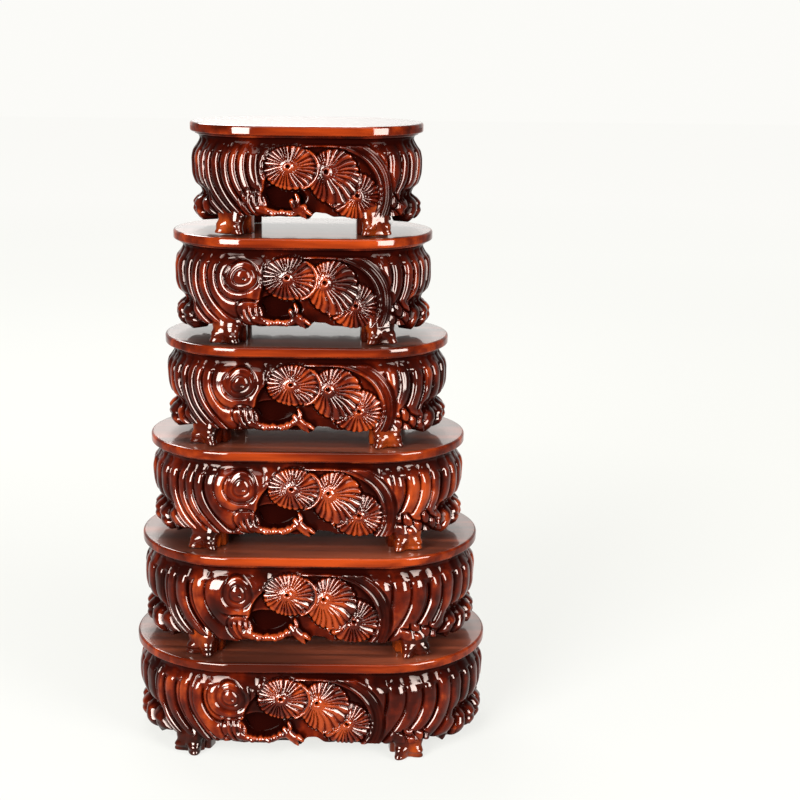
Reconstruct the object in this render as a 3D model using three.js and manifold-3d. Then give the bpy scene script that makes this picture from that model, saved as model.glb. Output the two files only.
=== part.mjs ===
import * as THREE from 'three';
import { mergeVertices } from 'three/addons/utils/BufferGeometryUtils.js';
import Module from 'manifold-3d';

const wasm = await Module();
wasm.setup();

// Graduated set of oval carved wood display stands, stacked largest to smallest.
// Millimetres, Z up, the front faces -Y, the origin is under the middle of the lowest stand.
// Each stand is a top board on a carved wall of four aprons, carried by four legs.

// Boards and heights of the stands, the lowest first
const TIER1_LENGTH = 240;
const TIER1_WIDTH = 144;
const TIER1_HEIGHT = 70;
const TIER2_LENGTH = 228;
const TIER2_WIDTH = 135;
const TIER2_HEIGHT = 71.5;
const TIER3_LENGTH = 211;
const TIER3_WIDTH = 121;
const TIER3_HEIGHT = 68.7;
const TIER4_LENGTH = 188;
const TIER4_WIDTH = 110;
const TIER4_HEIGHT = 67;
const TIER5_LENGTH = 170;
const TIER5_WIDTH = 103;
const TIER5_HEIGHT = 68.8;
const TIER6_LENGTH = 151;
const TIER6_WIDTH = 92;
const TIER6_HEIGHT = 69;

// Lowest first: how far the stack shifts each stand sideways, the angle of its legs round the
// ends, and the places of the rosettes, the hole and the ringed knot along its front
const STACK_SHIFT = [0, -0.6, -1.8, -2.3, -4.6, -1.9];
const LEFT_LEG_ANGLE = [28.5, 21.5, 21.5, 31, 17, 25];
const RIGHT_LEG_ANGLE = [18.5, 25.5, 25.5, 19, 24.5, 24];
const BACK_LEG_ANGLE = 22;
const MOTIF_AT = [-7, -2, 2, 2, 2, 0];
const HOLE_AT = [-29, -24, -18, -18, -12.5, -12.5];
const KNOT_AT = [-50, -44, -40, -40, -36, null];

// Lowest first: pitch of the ribs beside the left legs, beside the right legs, at the ends and
// on the back
const LEFT_PITCH = [11.5, 11, 7.4, 7.6, 6.6, 7.2];
const RIGHT_PITCH = [13, 13, 10, 10, 10, 10.5];
const END_PITCH = [13.5, 13.5, 12, 12, 11.5, 11];
const BACK_PITCH = [13.5, 13.5, 12, 12, 12, 12];

// Height that the carving is drawn for: it stretches with the height of each stand
const DRAWN_HEIGHT = 70;

// Clearances
const SEAT_GAP = 0.3;
const SEAM_GAP = 0.3;

// Top board
const BOARD_THICKNESS = 6;
const BOARD_ROUND = 1.2;
const BOARD_ARC_STEPS = 12;

// Apron wall
const WALL_INNER_INSET = 15;
const APRON_EDGE = 12.7;
const SEAM_ANGLE = 50;
const BANK_INSET = 2.8;
const BANK_STEP = 12;
const END_DROOP = 5.7;
const DROOP_FROM = 21;
const DROOP_FULL = 28;
const LUMP_EDGE_RISE = 3.2;
const WAIST_FROM = 40;
const WAIST_TO = 56;

// Ribs of the root carving
const END_PITCH_FROM = 8;
const END_PITCH_FULL = 40;
const PITCH_WOBBLE = 0.14;
const WOBBLE_RATE = 0.23;
const WOBBLE_SHIFT = 1.3;
const RIB_DEPTH = 3.4;
const RIB_TOP = 58.5;
const RIB_BOW = 4.5;
const RIB_SWEEP = 18;
const SWEEP_POWER = 2.3;
const SWEEP_REACH = 42;
const SWEEP_END_FADE = 18;
const SWEEP_MIDDLE_FADE = 25;
const SWEEP_SEAM_FADE = 24;
const COUNT_STEPS = 400;
const SWEEP_ROUNDS = 5;
const LEAST_RIB_STEP = 1.6;

// Field that is sunk round the rosettes, and the stem that arches over it
const FIELD_X = 11;
const FIELD_Z = 28;
const FIELD_RIGHT = 38.5;
const FIELD_PAST_HOLE = 13.5;
const FIELD_HALF_HEIGHT = 29;
const FIELD_INSET = 6.2;
const FIELD_SIDES = 22;
const RIB_START = 4;
const STEM_RADIUS = 3.2;
const STEM_INSET = 4.6;
const STEM_SPREAD = 1.15;
const STEM_FROM = -24;
const STEM_TO = 188;
const STEM_POINTS = 9;
const STEM_STEPS = 7;
const STEM_TOP = 56;
const ARCH_FROM = 4;
const ARCH_FULL = 8.2;
const ARCH_END = 20;
const ARCH_LEAVE = 13.5;
const ARCH_RISE = 2.5;

// Pine-needle rosettes on the front, the lowest first: centre, half sizes and eye from the middle
// of the motif, and the inset of the face at the eye
const ROSETTES = [
  { x: 33.6, z: 26, halfWidth: 16.8, halfHeight: 14.4, eyeX: 34.3, eyeZ: 26.6, inset: 2.1 },
  { x: 19.4, z: 38.2, halfWidth: 16, halfHeight: 17.4, eyeX: 13.9, eyeZ: 42, inset: 1.5 },
  { x: -8.2, z: 43.6, halfWidth: 16.6, halfHeight: 13.8, eyeX: -9.6, eyeZ: 44.8, inset: 0.9 },
];
const FLUTES = 8;
const FLUTE_DEPTH = 1;
const ROSETTE_FALL = 2.2;
const ROSETTE_BOSS = 0.16;
const CARVING_ROOT = 11;
const CARVING_TOLERANCE = 0.15;

// Deep hollow under the rosettes, the branch that runs below it and the twig beside it
const HOLE_HALF_WIDTH = 11.4;
const HOLE_HALF_HEIGHT = 6.5;
const HOLE_Z = 23.8;
const HOLE_SIDES = 6;
const BRANCH_RADIUS = 3;
const TWIG_RADIUS = 2.4;
const BAR_SIDES = 5;
const BRANCH_STEPS = 5;
const TWIG_STEPS = 3;
const BRANCH_INSET = 4.2;
const HOLE_DEPTH = 11.5;
const HOLE_CUT_START = 5;

// Ways of the branch, from the middle of the hole, and of the twig, from that of the motif, with
// their drawn heights
const BRANCH_ROUTE = [[-24, 25], [-14.5, 17.2], [-2, 15.2], [9, 16], [18, 18]];
const TWIG_ROUTE = [[-4.5, 26.5], [-1.5, 17.5], [2.5, APRON_EDGE]];

// Ringed knot beside the rosettes
const KNOT_RADIUS = 9.4;
const KNOT_Z = 45.5;
const KNOT_SIDES = 8;
const KNOT_MARGIN = 3;

// Rings of the knot: share of its radius and inset
const KNOT_RINGS = [[1, CARVING_ROOT], [0.85, 1], [0.5, 3.6], [0.25, 1.4]];

// Legs: a post behind the apron and a root foot with toes under it
const POST_WIDTH = 18;
const POST_DEPTH = 10;
const POST_SHIFT = 4;
const FOOT_BACK_INSET = 17.5;
const FOOT_BACK_WIDTH = 18;
const TOES = 3;
const TOE_STEPS = 2;
const FOOT_CORNER = 3;

const rad = THREE.MathUtils.degToRad;
const { clamp, smoothstep } = THREE.MathUtils;

const SIZES = [
  [TIER1_LENGTH, TIER1_WIDTH, TIER1_HEIGHT],
  [TIER2_LENGTH, TIER2_WIDTH, TIER2_HEIGHT],
  [TIER3_LENGTH, TIER3_WIDTH, TIER3_HEIGHT],
  [TIER4_LENGTH, TIER4_WIDTH, TIER4_HEIGHT],
  [TIER5_LENGTH, TIER5_WIDTH, TIER5_HEIGHT],
  [TIER6_LENGTH, TIER6_WIDTH, TIER6_HEIGHT],
];

// Finishes
const finish = (name, color, roughness) =>
  new THREE.MeshStandardMaterial({ name, color, roughness, metalness: 0 });
const boardWood = finish('board_wood', 0x7a2c16, 0.12);
const carvedWood = finish('carved_wood', 0x5a1a0e, 0.12);
const legWood = finish('leg_wood', 0x4a150c, 0.15);

// Closed mesh from points and triangles, turned so that its faces point out
function closedGeometry(points, triangles) {
  let volume = 0;
  for (const [a, b, c] of triangles) {
    volume += points[a].dot(points[b].clone().cross(points[c]));
  }
  const ordered = volume < 0 ? triangles.map(([a, b, c]) => [a, c, b]) : triangles;
  const geometry = new THREE.BufferGeometry();
  geometry.setFromPoints(points);
  geometry.setIndex(ordered.flat());
  return geometry;
}

function toSolid(geometry) {
  const bare = geometry.clone();
  bare.deleteAttribute('normal');
  bare.deleteAttribute('uv');
  const merged = mergeVertices(bare, 1e-4);
  return new wasm.Manifold(new wasm.Mesh({
    numProp: 3,
    vertProperties: new Float32Array(merged.attributes.position.array),
    triVerts: new Uint32Array(merged.index.array),
  }));
}

// Mesh of a joined solid: its outer shell, so that a pocket closed in by the carving is filled
function toGeometry(solid) {
  const shells = solid.decompose();
  const outer = shells.reduce((most, shell) => (shell.volume() > most.volume() ? shell : most));
  const mesh = outer.getMesh();
  const geometry = new THREE.BufferGeometry();
  geometry.setAttribute('position', new THREE.BufferAttribute(new Float32Array(mesh.vertProperties), 3));
  geometry.setIndex([...mesh.triVerts]);
  geometry.computeVertexNormals();
  return geometry;
}

// Skin over rings of equal length: side faces between neighbours and a flat cap on each end
function skinRings(rings, capShapes) {
  const count = rings[0].length;
  const triangles = [];
  for (let r = 0; r + 1 < rings.length; r += 1) {
    for (let i = 0; i < count; i += 1) {
      const next = (i + 1) % count;
      const a = r * count + i;
      const b = r * count + next;
      triangles.push([a, b, b + count], [a, b + count, a + count]);
    }
  }
  const last = (rings.length - 1) * count;
  for (const [a, b, c] of THREE.ShapeUtils.triangulateShape(capShapes[0], [])) {
    triangles.push([c, b, a]);
  }
  for (const [a, b, c] of THREE.ShapeUtils.triangulateShape(capShapes[1], [])) {
    triangles.push([a + last, b + last, c + last]);
  }
  return closedGeometry(rings.flat(), triangles);
}

// Oval outline with straight sides and round ends. u is the way along it from the middle of the
// front towards +X, inset is how far inside the board's edge the point lies, and z is a real
// height; lift turns a height of the drawn carving into the stand's.
function outlineOf(stand) {
  const radius = stand.width / 2;
  const half = (stand.length - stand.width) / 2;
  const quarter = half + Math.PI * radius / 2;
  const point = (u, inset, z) => {
    const turn = Math.round(u / (2 * quarter));
    const local = u - turn * 2 * quarter;
    const flip = turn % 2 === 0 ? 1 : -1;
    const along = clamp(local, -half, half);
    const angle = (local - along) / radius;
    const reach = radius - inset;
    return new THREE.Vector3(
      flip * (along + Math.sin(angle) * reach),
      -flip * Math.cos(angle) * reach,
      z,
    );
  };
  const lift = (drawn) => drawn * stand.height / DRAWN_HEIGHT;
  const seam = half + radius * rad(SEAM_ANGLE);
  const legs = {
    left: half + radius * rad(stand.left.legAngle),
    right: half + radius * rad(stand.right.legAngle),
    back: half + radius * rad(stand.back.legAngle),
  };
  const top = stand.height - BOARD_THICKNESS - SEAT_GAP;
  return { radius, half, quarter, point, lift, seam, legs, top };
}

// Top board: the oval with its two rims eased
function topBoard(stand) {
  const { half, quarter, radius, point } = outlineOf(stand);
  const stations = [];
  for (const side of [0, 1]) {
    for (let i = 0; i <= BOARD_ARC_STEPS; i += 1) {
      stations.push(side * 2 * quarter + half + Math.PI * radius * i / BOARD_ARC_STEPS);
    }
  }
  const bottom = stand.height - BOARD_THICKNESS;
  const profile = [
    [BOARD_ROUND, bottom],
    [0, bottom + BOARD_ROUND],
    [0, stand.height - BOARD_ROUND],
    [BOARD_ROUND, stand.height],
  ];
  const rings = profile.map(([inset, z]) => stations.map((u) => point(u, inset, z)));
  const cap = (ring) => ring.map((p) => new THREE.Vector2(p.x, p.y));
  return skinRings(rings, [cap(rings[0]), cap(rings[rings.length - 1])]);
}

// Rows of the carved face from its lower edge to the board: drawn height, inset of the crests and
// share of the rib depth, on the sides and at the ends, which have a waist over root lumps
const ROWS = [
  { z: APRON_EDGE, side: 3.2, sideRib: 0.8, end: 4.4, endRib: 0.7 },
  { z: 16.5, side: 2, sideRib: 1, end: 1, endRib: 1.2 },
  { z: 24.5, side: 1.2, sideRib: 1, end: 7, endRib: 0.6 },
  { z: 32, side: 0.9, sideRib: 1, end: 2, endRib: 1 },
  { z: 51, side: 1.4, sideRib: 1, end: 1.4, endRib: 1 },
  { z: 58.5, side: 5.6, sideRib: 0, end: 5.6, endRib: 0 },
  { z: 63.7, side: 3.2, sideRib: 0, end: 3.2, endRib: 0 },
];

// Value at x of the line through the points of two lists
function along(xs, ys, x) {
  let i = 1;
  while (i < xs.length - 1 && xs[i] < x) {
    i += 1;
  }
  const share = (x - xs[i - 1]) / (xs[i] - xs[i - 1]);
  return ys[i - 1] + (ys[i] - ys[i - 1]) * share;
}

// Running number of ribs over the way from the middle of a side to the middle of an end: past the
// leg the pitch goes over to that of the end; a crest falls on the middle of the end, and a groove
// on the middle of the side
function ribTable(stand, side) {
  const { quarter, legs } = outlineOf(stand);
  const leg = legs[side];
  const sidePitch = stand[side].pitch;
  const ways = [0];
  const counts = [0];
  for (let i = 1; i <= COUNT_STEPS; i += 1) {
    const way = quarter * i / COUNT_STEPS;
    const past = way - leg;
    const pitch = sidePitch
      + (stand.endPitch - sidePitch) * smoothstep(past, END_PITCH_FROM, END_PITCH_FULL);
    const wobble = 1 + PITCH_WOBBLE * Math.sin(WOBBLE_RATE * past + WOBBLE_SHIFT * stand.index);
    ways.push(way);
    counts.push(counts[i - 1] + quarter / COUNT_STEPS / (pitch * wobble));
  }
  const atLeg = along(ways, counts, leg);
  const outer = counts[COUNT_STEPS] - atLeg;
  const scaled = counts.map((count) => {
    const past = count - atLeg;
    return past > 0 ? past * Math.round(outer) / outer : past * (Math.floor(atLeg) + 0.5) / atLeg;
  });
  return { ways, counts: scaled };
}

// Crests and grooves between two ways: crest is 1 on a crest, 0 in a groove
function ribWays(stand, side, from, to) {
  const { ways, counts } = ribTable(stand, side);
  const crestOf = (way) => {
    const count = along(ways, counts, way);
    return 1 - 2 * Math.abs(count - Math.round(count));
  };
  const found = [{ way: from, crest: crestOf(from) }];
  const first = Math.floor(2 * along(ways, counts, from)) + 1;
  const last = Math.ceil(2 * along(ways, counts, to)) - 1;
  for (let half = first; half <= last; half += 1) {
    const way = along(counts, ways, half / 2);
    if (way - from > LEAST_RIB_STEP && to - way > LEAST_RIB_STEP) {
      found.push({ way, crest: half % 2 === 0 ? 1 : 0 });
    }
  }
  found.push({ way: to, crest: crestOf(to) });
  return found;
}

// How far a rib has moved along the wall at a drawn height: it bows out over its height and its
// foot sweeps back, most beside the legs and not at all at the seams
function ribShift(stand, side, way, z) {
  const { quarter, legs, seam } = outlineOf(stand);
  const drop = clamp((RIB_TOP - z) / (RIB_TOP - APRON_EDGE), 0, 1);
  const move = RIB_BOW * Math.sin(Math.PI * drop) - RIB_SWEEP * drop ** SWEEP_POWER;
  const atSeam = smoothstep(Math.abs(way - seam), 0, SWEEP_SEAM_FADE);
  let shift = 0;
  for (let i = 0; i < SWEEP_ROUNDS; i += 1) {
    const place = way + shift;
    const weight = Math.exp(-(((place - legs[side]) / SWEEP_REACH) ** 2))
      * smoothstep(quarter - place, 0, SWEEP_END_FADE) * smoothstep(place, 0, SWEEP_MIDDLE_FADE);
    shift = weight * atSeam * move;
  }
  return shift;
}

// Drawn height of the lower edge of the ribs: beyond the foot it drops, scalloped by the lumps
function ribLow(stand, side, way, crest) {
  const place = way + ribShift(stand, side, way, APRON_EDGE);
  const drop = smoothstep(place - outlineOf(stand).legs[side], DROOP_FROM, DROOP_FULL);
  return APRON_EDGE - drop * (END_DROOP - LUMP_EDGE_RISE * (1 - crest));
}

// Carved wall along a list of stations: each has a place u, its crest value, or null on the plain
// bank, the drawn height of its lower edge, and its side
function carvedWall(stand, stations) {
  const { point, lift, half, radius, quarter, top } = outlineOf(stand);
  const rings = stations.map(({ u, crest, low, side }) => {
    const way = quarter - Math.abs(Math.abs(u) - quarter);
    const sense = Math.sign(u) * (Math.abs(u) > quarter ? -1 : 1);
    const atEnd = smoothstep((way - half) / radius, rad(WAIST_FROM), rad(WAIST_TO));
    const outer = ROWS.map((row, i) => {
      const inset = row.side + (row.end - row.side) * atEnd;
      const rib = row.sideRib + (row.endRib - row.sideRib) * atEnd;
      const height = i === ROWS.length - 1 ? top : lift(i === 0 ? low : Math.max(row.z, low + 1));
      if (crest === null) {
        return point(u, Math.max(inset, BANK_INSET), height);
      }
      const place = u + sense * ribShift(stand, side, way, row.z);
      return point(place, inset + (1 - crest) * RIB_DEPTH * rib, height);
    });
    return [...outer, point(u, WALL_INNER_INSET, top), point(u, WALL_INNER_INSET, lift(low))];
  });
  const capAt = (ring) => {
    const base = ring[ring.length - 1];
    return ring.map((p) => new THREE.Vector2(Math.hypot(p.x - base.x, p.y - base.y), p.z));
  };
  return skinRings(rings, [capAt(rings[0]), capAt(rings[rings.length - 1])]);
}

// Closed solid from rings of [u, z, inset], each z a drawn height kept over the apron's edge
function wrapped(stand, rings) {
  const { point, lift } = outlineOf(stand);
  const placed = rings.map((ring) =>
    ring.map(([u, z, inset]) => point(u, inset, lift(Math.max(z, APRON_EDGE)))));
  const cap = (ring) => ring.map(([u, z]) => new THREE.Vector2(u, z));
  return toSolid(skinRings(placed, [cap(rings[0]), cap(rings[rings.length - 1])]));
}

// Ring of [u, z, inset] on an ellipse round a centre
function ellipseRing(sides, centreU, centreZ, halfU, halfZ, inset) {
  const ring = [];
  for (let i = 0; i < sides; i += 1) {
    const angle = 2 * Math.PI * (i + 0.5) / sides;
    const reach = typeof halfU === 'function' ? halfU(Math.cos(angle)) : halfU;
    ring.push([centreU + reach * Math.cos(angle), centreZ + halfZ * Math.sin(angle), inset]);
  }
  return ring;
}

// Half width of the sunk field to the right, or to the left, where it reaches past the hole
const fieldReach = (stand) => (cos) =>
  (cos > 0 ? FIELD_RIGHT : FIELD_X - (stand.hole - stand.motif) + FIELD_PAST_HOLE);

// Cutter of the sunk field round the rosettes
function fieldCutter(stand) {
  const { point, lift } = outlineOf(stand);
  const middle = stand.motif + FIELD_X;
  const rim = ellipseRing(FIELD_SIDES, middle, FIELD_Z, fieldReach(stand), FIELD_HALF_HEIGHT, 0);
  const rings = [-FIELD_INSET, FIELD_INSET].map((inset) => rim.map(([u, z]) => point(u, inset, lift(z))));
  const cap = rim.map(([u, z]) => new THREE.Vector2(u, z));
  return toSolid(skinRings(rings, [cap, cap]));
}

// Rosette of needle flutes: rings from its root in the wall over the rim to the boss at the eye
function rosette(stand, shape) {
  const columns = 2 * FLUTES;
  const ring = (share, inset, flute) => {
    const points = [];
    for (let i = 0; i < columns; i += 1) {
      const angle = 2 * Math.PI * i / columns;
      const rimX = shape.x + shape.halfWidth * Math.cos(angle);
      const rimZ = shape.z + shape.halfHeight * Math.sin(angle);
      points.push([
        stand.motif + shape.eyeX + (rimX - shape.eyeX) * share,
        shape.eyeZ + (rimZ - shape.eyeZ) * share,
        i % 2 === 0 ? inset : inset + flute,
      ]);
    }
    return points;
  };
  const fall = (share) => shape.inset + ROSETTE_FALL * share ** 2;
  return wrapped(stand, [
    ring(1, CARVING_ROOT, 0),
    ring(1, fall(1), FLUTE_DEPTH),
    ring(ROSETTE_BOSS, fall(ROSETTE_BOSS), 0),
  ]);
}

// Ringed knot: its rim, a groove and a domed middle
function knot(stand) {
  return wrapped(stand, KNOT_RINGS.map(([share, inset]) =>
    ellipseRing(KNOT_SIDES, stand.knot, KNOT_Z, KNOT_RADIUS * share, KNOT_RADIUS * share, inset)));
}

// Round bar that follows points given as u, drawn height and inset along the front wall
function bar(stand, route, radius, steps) {
  const { point, lift } = outlineOf(stand);
  const curve = new THREE.CatmullRomCurve3(route.map(([u, z, inset]) => point(u, inset, lift(z))));
  const section = new THREE.Shape();
  for (let i = 0; i < BAR_SIDES; i += 1) {
    const angle = 2 * Math.PI * i / BAR_SIDES;
    section[i === 0 ? 'moveTo' : 'lineTo'](radius * Math.cos(angle), radius * Math.sin(angle));
  }
  section.closePath();
  return toSolid(new THREE.ExtrudeGeometry(section, { steps, extrudePath: curve, bevelEnabled: false }));
}

// Stem over the field, from its foot beside the right leg up and over to the left
function stem(stand) {
  const reach = fieldReach(stand);
  const route = [];
  for (let i = 0; i < STEM_POINTS; i += 1) {
    const angle = rad(STEM_FROM + (STEM_TO - STEM_FROM) * i / (STEM_POINTS - 1));
    const cos = Math.cos(angle);
    route.push([
      stand.motif + FIELD_X + reach(cos) * STEM_SPREAD * cos,
      Math.min(FIELD_Z + FIELD_HALF_HEIGHT * STEM_SPREAD * Math.sin(angle), STEM_TOP),
      STEM_INSET,
    ]);
  }
  return bar(stand, route, STEM_RADIUS, STEM_STEPS);
}

// Branch that closes the hole below, and the twig that hangs beside it
const branch = (stand) =>
  bar(stand, BRANCH_ROUTE.map(([x, z]) => [stand.hole + x, z, BRANCH_INSET]), BRANCH_RADIUS, BRANCH_STEPS);

const twig = (stand) =>
  bar(stand, TWIG_ROUTE.map(([x, z]) => [stand.motif + x, z, BRANCH_INSET]), TWIG_RADIUS, TWIG_STEPS);

// Oval cutter of the hollow, straight into the flat front
function holeCutter(stand) {
  const { radius, lift } = outlineOf(stand);
  const shape = new THREE.Shape();
  shape.absellipse(0, 0, HOLE_HALF_WIDTH, HOLE_HALF_HEIGHT, 0, 2 * Math.PI);
  const geometry = new THREE.ExtrudeGeometry(shape, {
    depth: HOLE_CUT_START + HOLE_DEPTH,
    bevelEnabled: false,
    curveSegments: HOLE_SIDES,
  });
  geometry.rotateX(Math.PI / 2);
  geometry.translate(stand.hole, HOLE_DEPTH - radius, lift(HOLE_Z));
  return toSolid(geometry);
}

// Stations of the ribs between two ways of one side
const ribStations = (stand, side, from, to) =>
  ribWays(stand, side, from, to).map(({ way, crest }) =>
    ({ u: way, crest, low: ribLow(stand, side, way, crest), side }));

// Drawn height of the front's lower edge: raised in an arch beside the twig
const frontLow = (stand, u) => {
  const past = u - stand.motif;
  const rise = smoothstep(past, ARCH_FROM, ARCH_FULL) * (1 - smoothstep(past, ARCH_LEAVE, ARCH_END));
  return APRON_EDGE + ARCH_RISE * rise;
};

// Front apron: ribs at both sides, and between them the sunk field with the rosettes, the stem,
// the knot, the hollow, the branch and the twig
function frontApron(stand) {
  const edge = outlineOf(stand).seam - SEAM_GAP / 2;
  const leftField = stand.motif + FIELD_X - fieldReach(stand)(-1) + RIB_START;
  const left = stand.knot === null ? -leftField : KNOT_RADIUS + KNOT_MARGIN - stand.knot;
  const right = stand.motif + FIELD_X + FIELD_RIGHT - RIB_START;
  const bank = (u, low) => ({ u, crest: null, low });
  const stations = ribStations(stand, 'left', left, edge).map((rib) => ({ ...rib, u: -rib.u })).reverse();
  const arch = [ARCH_FROM, ARCH_FULL, ARCH_LEAVE, ARCH_END].map((past) => stand.motif + past);
  const leftSteps = Math.ceil((arch[0] + left) / BANK_STEP);
  for (let i = 1; i < leftSteps; i += 1) {
    stations.push(bank(-left + (arch[0] + left) * i / leftSteps, APRON_EDGE));
  }
  for (const u of arch) {
    stations.push(bank(u, frontLow(stand, u)));
  }
  const rightSteps = Math.ceil((right - arch[3]) / BANK_STEP);
  for (let i = 1; i < rightSteps; i += 1) {
    stations.push(bank(arch[3] + (right - arch[3]) * i / rightSteps, APRON_EDGE));
  }
  stations.push(...ribStations(stand, 'right', right, edge));
  let solid = toSolid(carvedWall(stand, stations));
  solid = solid.subtract(fieldCutter(stand)).add(stem(stand));
  for (const shape of ROSETTES) {
    solid = solid.add(rosette(stand, shape));
  }
  if (stand.knot !== null) {
    solid = solid.add(knot(stand));
  }
  solid = solid.subtract(holeCutter(stand)).add(branch(stand)).add(twig(stand));
  return toGeometry(solid.simplify(CARVING_TOLERANCE));
}

// Back apron: the ribbed wall from seam to seam
function backApron(stand) {
  const half = ribStations(stand, 'back', 0, outlineOf(stand).seam - SEAM_GAP / 2);
  const mirrored = half.slice(1).map((rib) => ({ ...rib, u: -rib.u })).reverse();
  return carvedWall(stand, [...mirrored, ...half]).rotateZ(Math.PI);
}

// End apron: the ribbed wall round the middle of an end. The left one is built as a right one
// and turned half a turn, so there the back's ribs come first.
function endApron(stand, side) {
  const { quarter, seam } = outlineOf(stand);
  const half = (way) => ribStations(stand, way, seam + SEAM_GAP / 2, quarter);
  const near = half(side === 'left' ? 'back' : side);
  const far = half(side === 'left' ? side : 'back').slice(0, -1);
  const beyond = far.map((rib) => ({ ...rib, u: 2 * quarter - rib.u })).reverse();
  const geometry = carvedWall(stand, [...near, ...beyond]);
  return side === 'left' ? geometry.rotateZ(Math.PI) : geometry;
}

// Foot rings from the floor to the apron: drawn height, half width, inset of the front and how
// far the furrows between the toes cut in
const FOOT_ROWS = [
  { z: 0, width: 12.4, front: 1.8, furrow: 2.6 },
  { z: 2.6, width: 13.8, front: 0.8, furrow: 3 },
  { z: 5.6, width: 11.4, front: 3, furrow: 2 },
  { z: APRON_EDGE, width: 11.6, front: 2.4, furrow: 1.6 },
];

// Leg: the foot with its post standing behind the apron up to the board
function leg(stand, u) {
  const { point, lift, top } = outlineOf(stand);
  const columns = TOES * TOE_STEPS;
  const rings = FOOT_ROWS.map(({ z, width, front, furrow }) => {
    const ring = [];
    const height = z === APRON_EDGE ? lift(z) - SEAT_GAP : lift(z);
    for (let i = 0; i <= columns; i += 1) {
      const across = 2 * i / columns - 1;
      const lobe = Math.abs(Math.cos(TOES * Math.PI * across / 2));
      const corner = FOOT_CORNER * across ** 4;
      ring.push(point(u + width * across, front + furrow * (1 - lobe) + corner, height));
    }
    ring.push(point(u + FOOT_BACK_WIDTH / 2, FOOT_BACK_INSET, height));
    ring.push(point(u - FOOT_BACK_WIDTH / 2, FOOT_BACK_INSET, height));
    return ring;
  });
  const cap = (ring) => ring.map((p) => new THREE.Vector2(p.x, p.y));
  const foot = toSolid(skinRings(rings, [cap(rings[0]), cap(rings[rings.length - 1])]));
  const outer = WALL_INNER_INSET + SEAT_GAP;
  const { quarter } = outlineOf(stand);
  const inward = Math.sign(u) * (Math.abs(u) > quarter ? -1 : 1);
  const middle = u - POST_SHIFT * inward;
  const corner = (z) => [
    point(middle - POST_WIDTH / 2, outer, z),
    point(middle + POST_WIDTH / 2, outer, z),
    point(middle + POST_WIDTH / 2, outer + POST_DEPTH, z),
    point(middle - POST_WIDTH / 2, outer + POST_DEPTH, z),
  ];
  const low = corner(0);
  const high = corner(top);
  const post = toSolid(skinRings([low, high], [cap(low), cap(high)]));
  return toGeometry(foot.add(post));
}

// One stand of the set: a group of its nine pieces, with its floor at z = 0
function buildStand(stand, name) {
  const group = new THREE.Group();
  const add = (piece, geometry, material) => {
    const mesh = new THREE.Mesh(geometry, material);
    mesh.name = `${name}_${piece}`;
    group.add(mesh);
  };
  const { quarter, legs } = outlineOf(stand);
  add('top_board', topBoard(stand), boardWood);
  add('front_apron', frontApron(stand), carvedWood);
  add('back_apron', backApron(stand), carvedWood);
  add('left_end_apron', endApron(stand, 'left'), carvedWood);
  add('right_end_apron', endApron(stand, 'right'), carvedWood);
  add('front_left_leg', leg(stand, -legs.left), legWood);
  add('front_right_leg', leg(stand, legs.right), legWood);
  add('back_left_leg', leg(stand, legs.back - 2 * quarter), legWood);
  add('back_right_leg', leg(stand, 2 * quarter - legs.back), legWood);
  return group;
}

const group = new THREE.Group();
let floor = 0;
SIZES.forEach(([length, width, height], index) => {
  const stand = {
    index,
    length,
    width,
    height,
    left: { legAngle: LEFT_LEG_ANGLE[index], pitch: LEFT_PITCH[index] },
    right: { legAngle: RIGHT_LEG_ANGLE[index], pitch: RIGHT_PITCH[index] },
    back: { legAngle: BACK_LEG_ANGLE, pitch: BACK_PITCH[index] },
    endPitch: END_PITCH[index],
    motif: MOTIF_AT[index],
    hole: HOLE_AT[index],
    knot: KNOT_AT[index],
  };
  const built = buildStand(stand, `tier${index + 1}`);
  built.position.set(STACK_SHIFT[index], 0, floor);
  group.add(built);
  floor += height + SEAT_GAP;
});

export default group;
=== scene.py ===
import math

import bpy
import numpy as np
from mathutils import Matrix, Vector


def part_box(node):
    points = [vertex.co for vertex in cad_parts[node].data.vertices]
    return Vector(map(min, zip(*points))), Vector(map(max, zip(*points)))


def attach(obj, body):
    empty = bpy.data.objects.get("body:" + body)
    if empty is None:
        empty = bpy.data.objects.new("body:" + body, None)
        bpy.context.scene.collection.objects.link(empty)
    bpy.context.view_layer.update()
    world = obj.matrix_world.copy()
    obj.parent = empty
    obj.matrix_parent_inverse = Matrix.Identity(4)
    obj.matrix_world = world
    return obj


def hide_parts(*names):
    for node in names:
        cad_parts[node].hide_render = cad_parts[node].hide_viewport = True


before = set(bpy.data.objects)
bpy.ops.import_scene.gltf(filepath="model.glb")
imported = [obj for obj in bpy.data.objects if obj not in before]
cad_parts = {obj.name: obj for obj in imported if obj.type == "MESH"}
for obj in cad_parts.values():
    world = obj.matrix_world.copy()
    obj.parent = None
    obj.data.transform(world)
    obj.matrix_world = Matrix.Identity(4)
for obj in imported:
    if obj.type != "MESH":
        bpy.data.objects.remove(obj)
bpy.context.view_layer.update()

# Units: the carving is drawn in millimetres, the scene is in metres
MM = 0.001

# Camera: reach and place in metres, pitch and roll in degrees, lens and sensor in millimetres
CAMERA_CLIP = 50
CAMERA_PLACE = (0.0602, -1.038, 0.4897)
CAMERA_PITCH = 13.97
CAMERA_ROLL = 0.617
CAMERA_LENS = 71.36
SENSOR_WIDTH = 36.0

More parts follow.
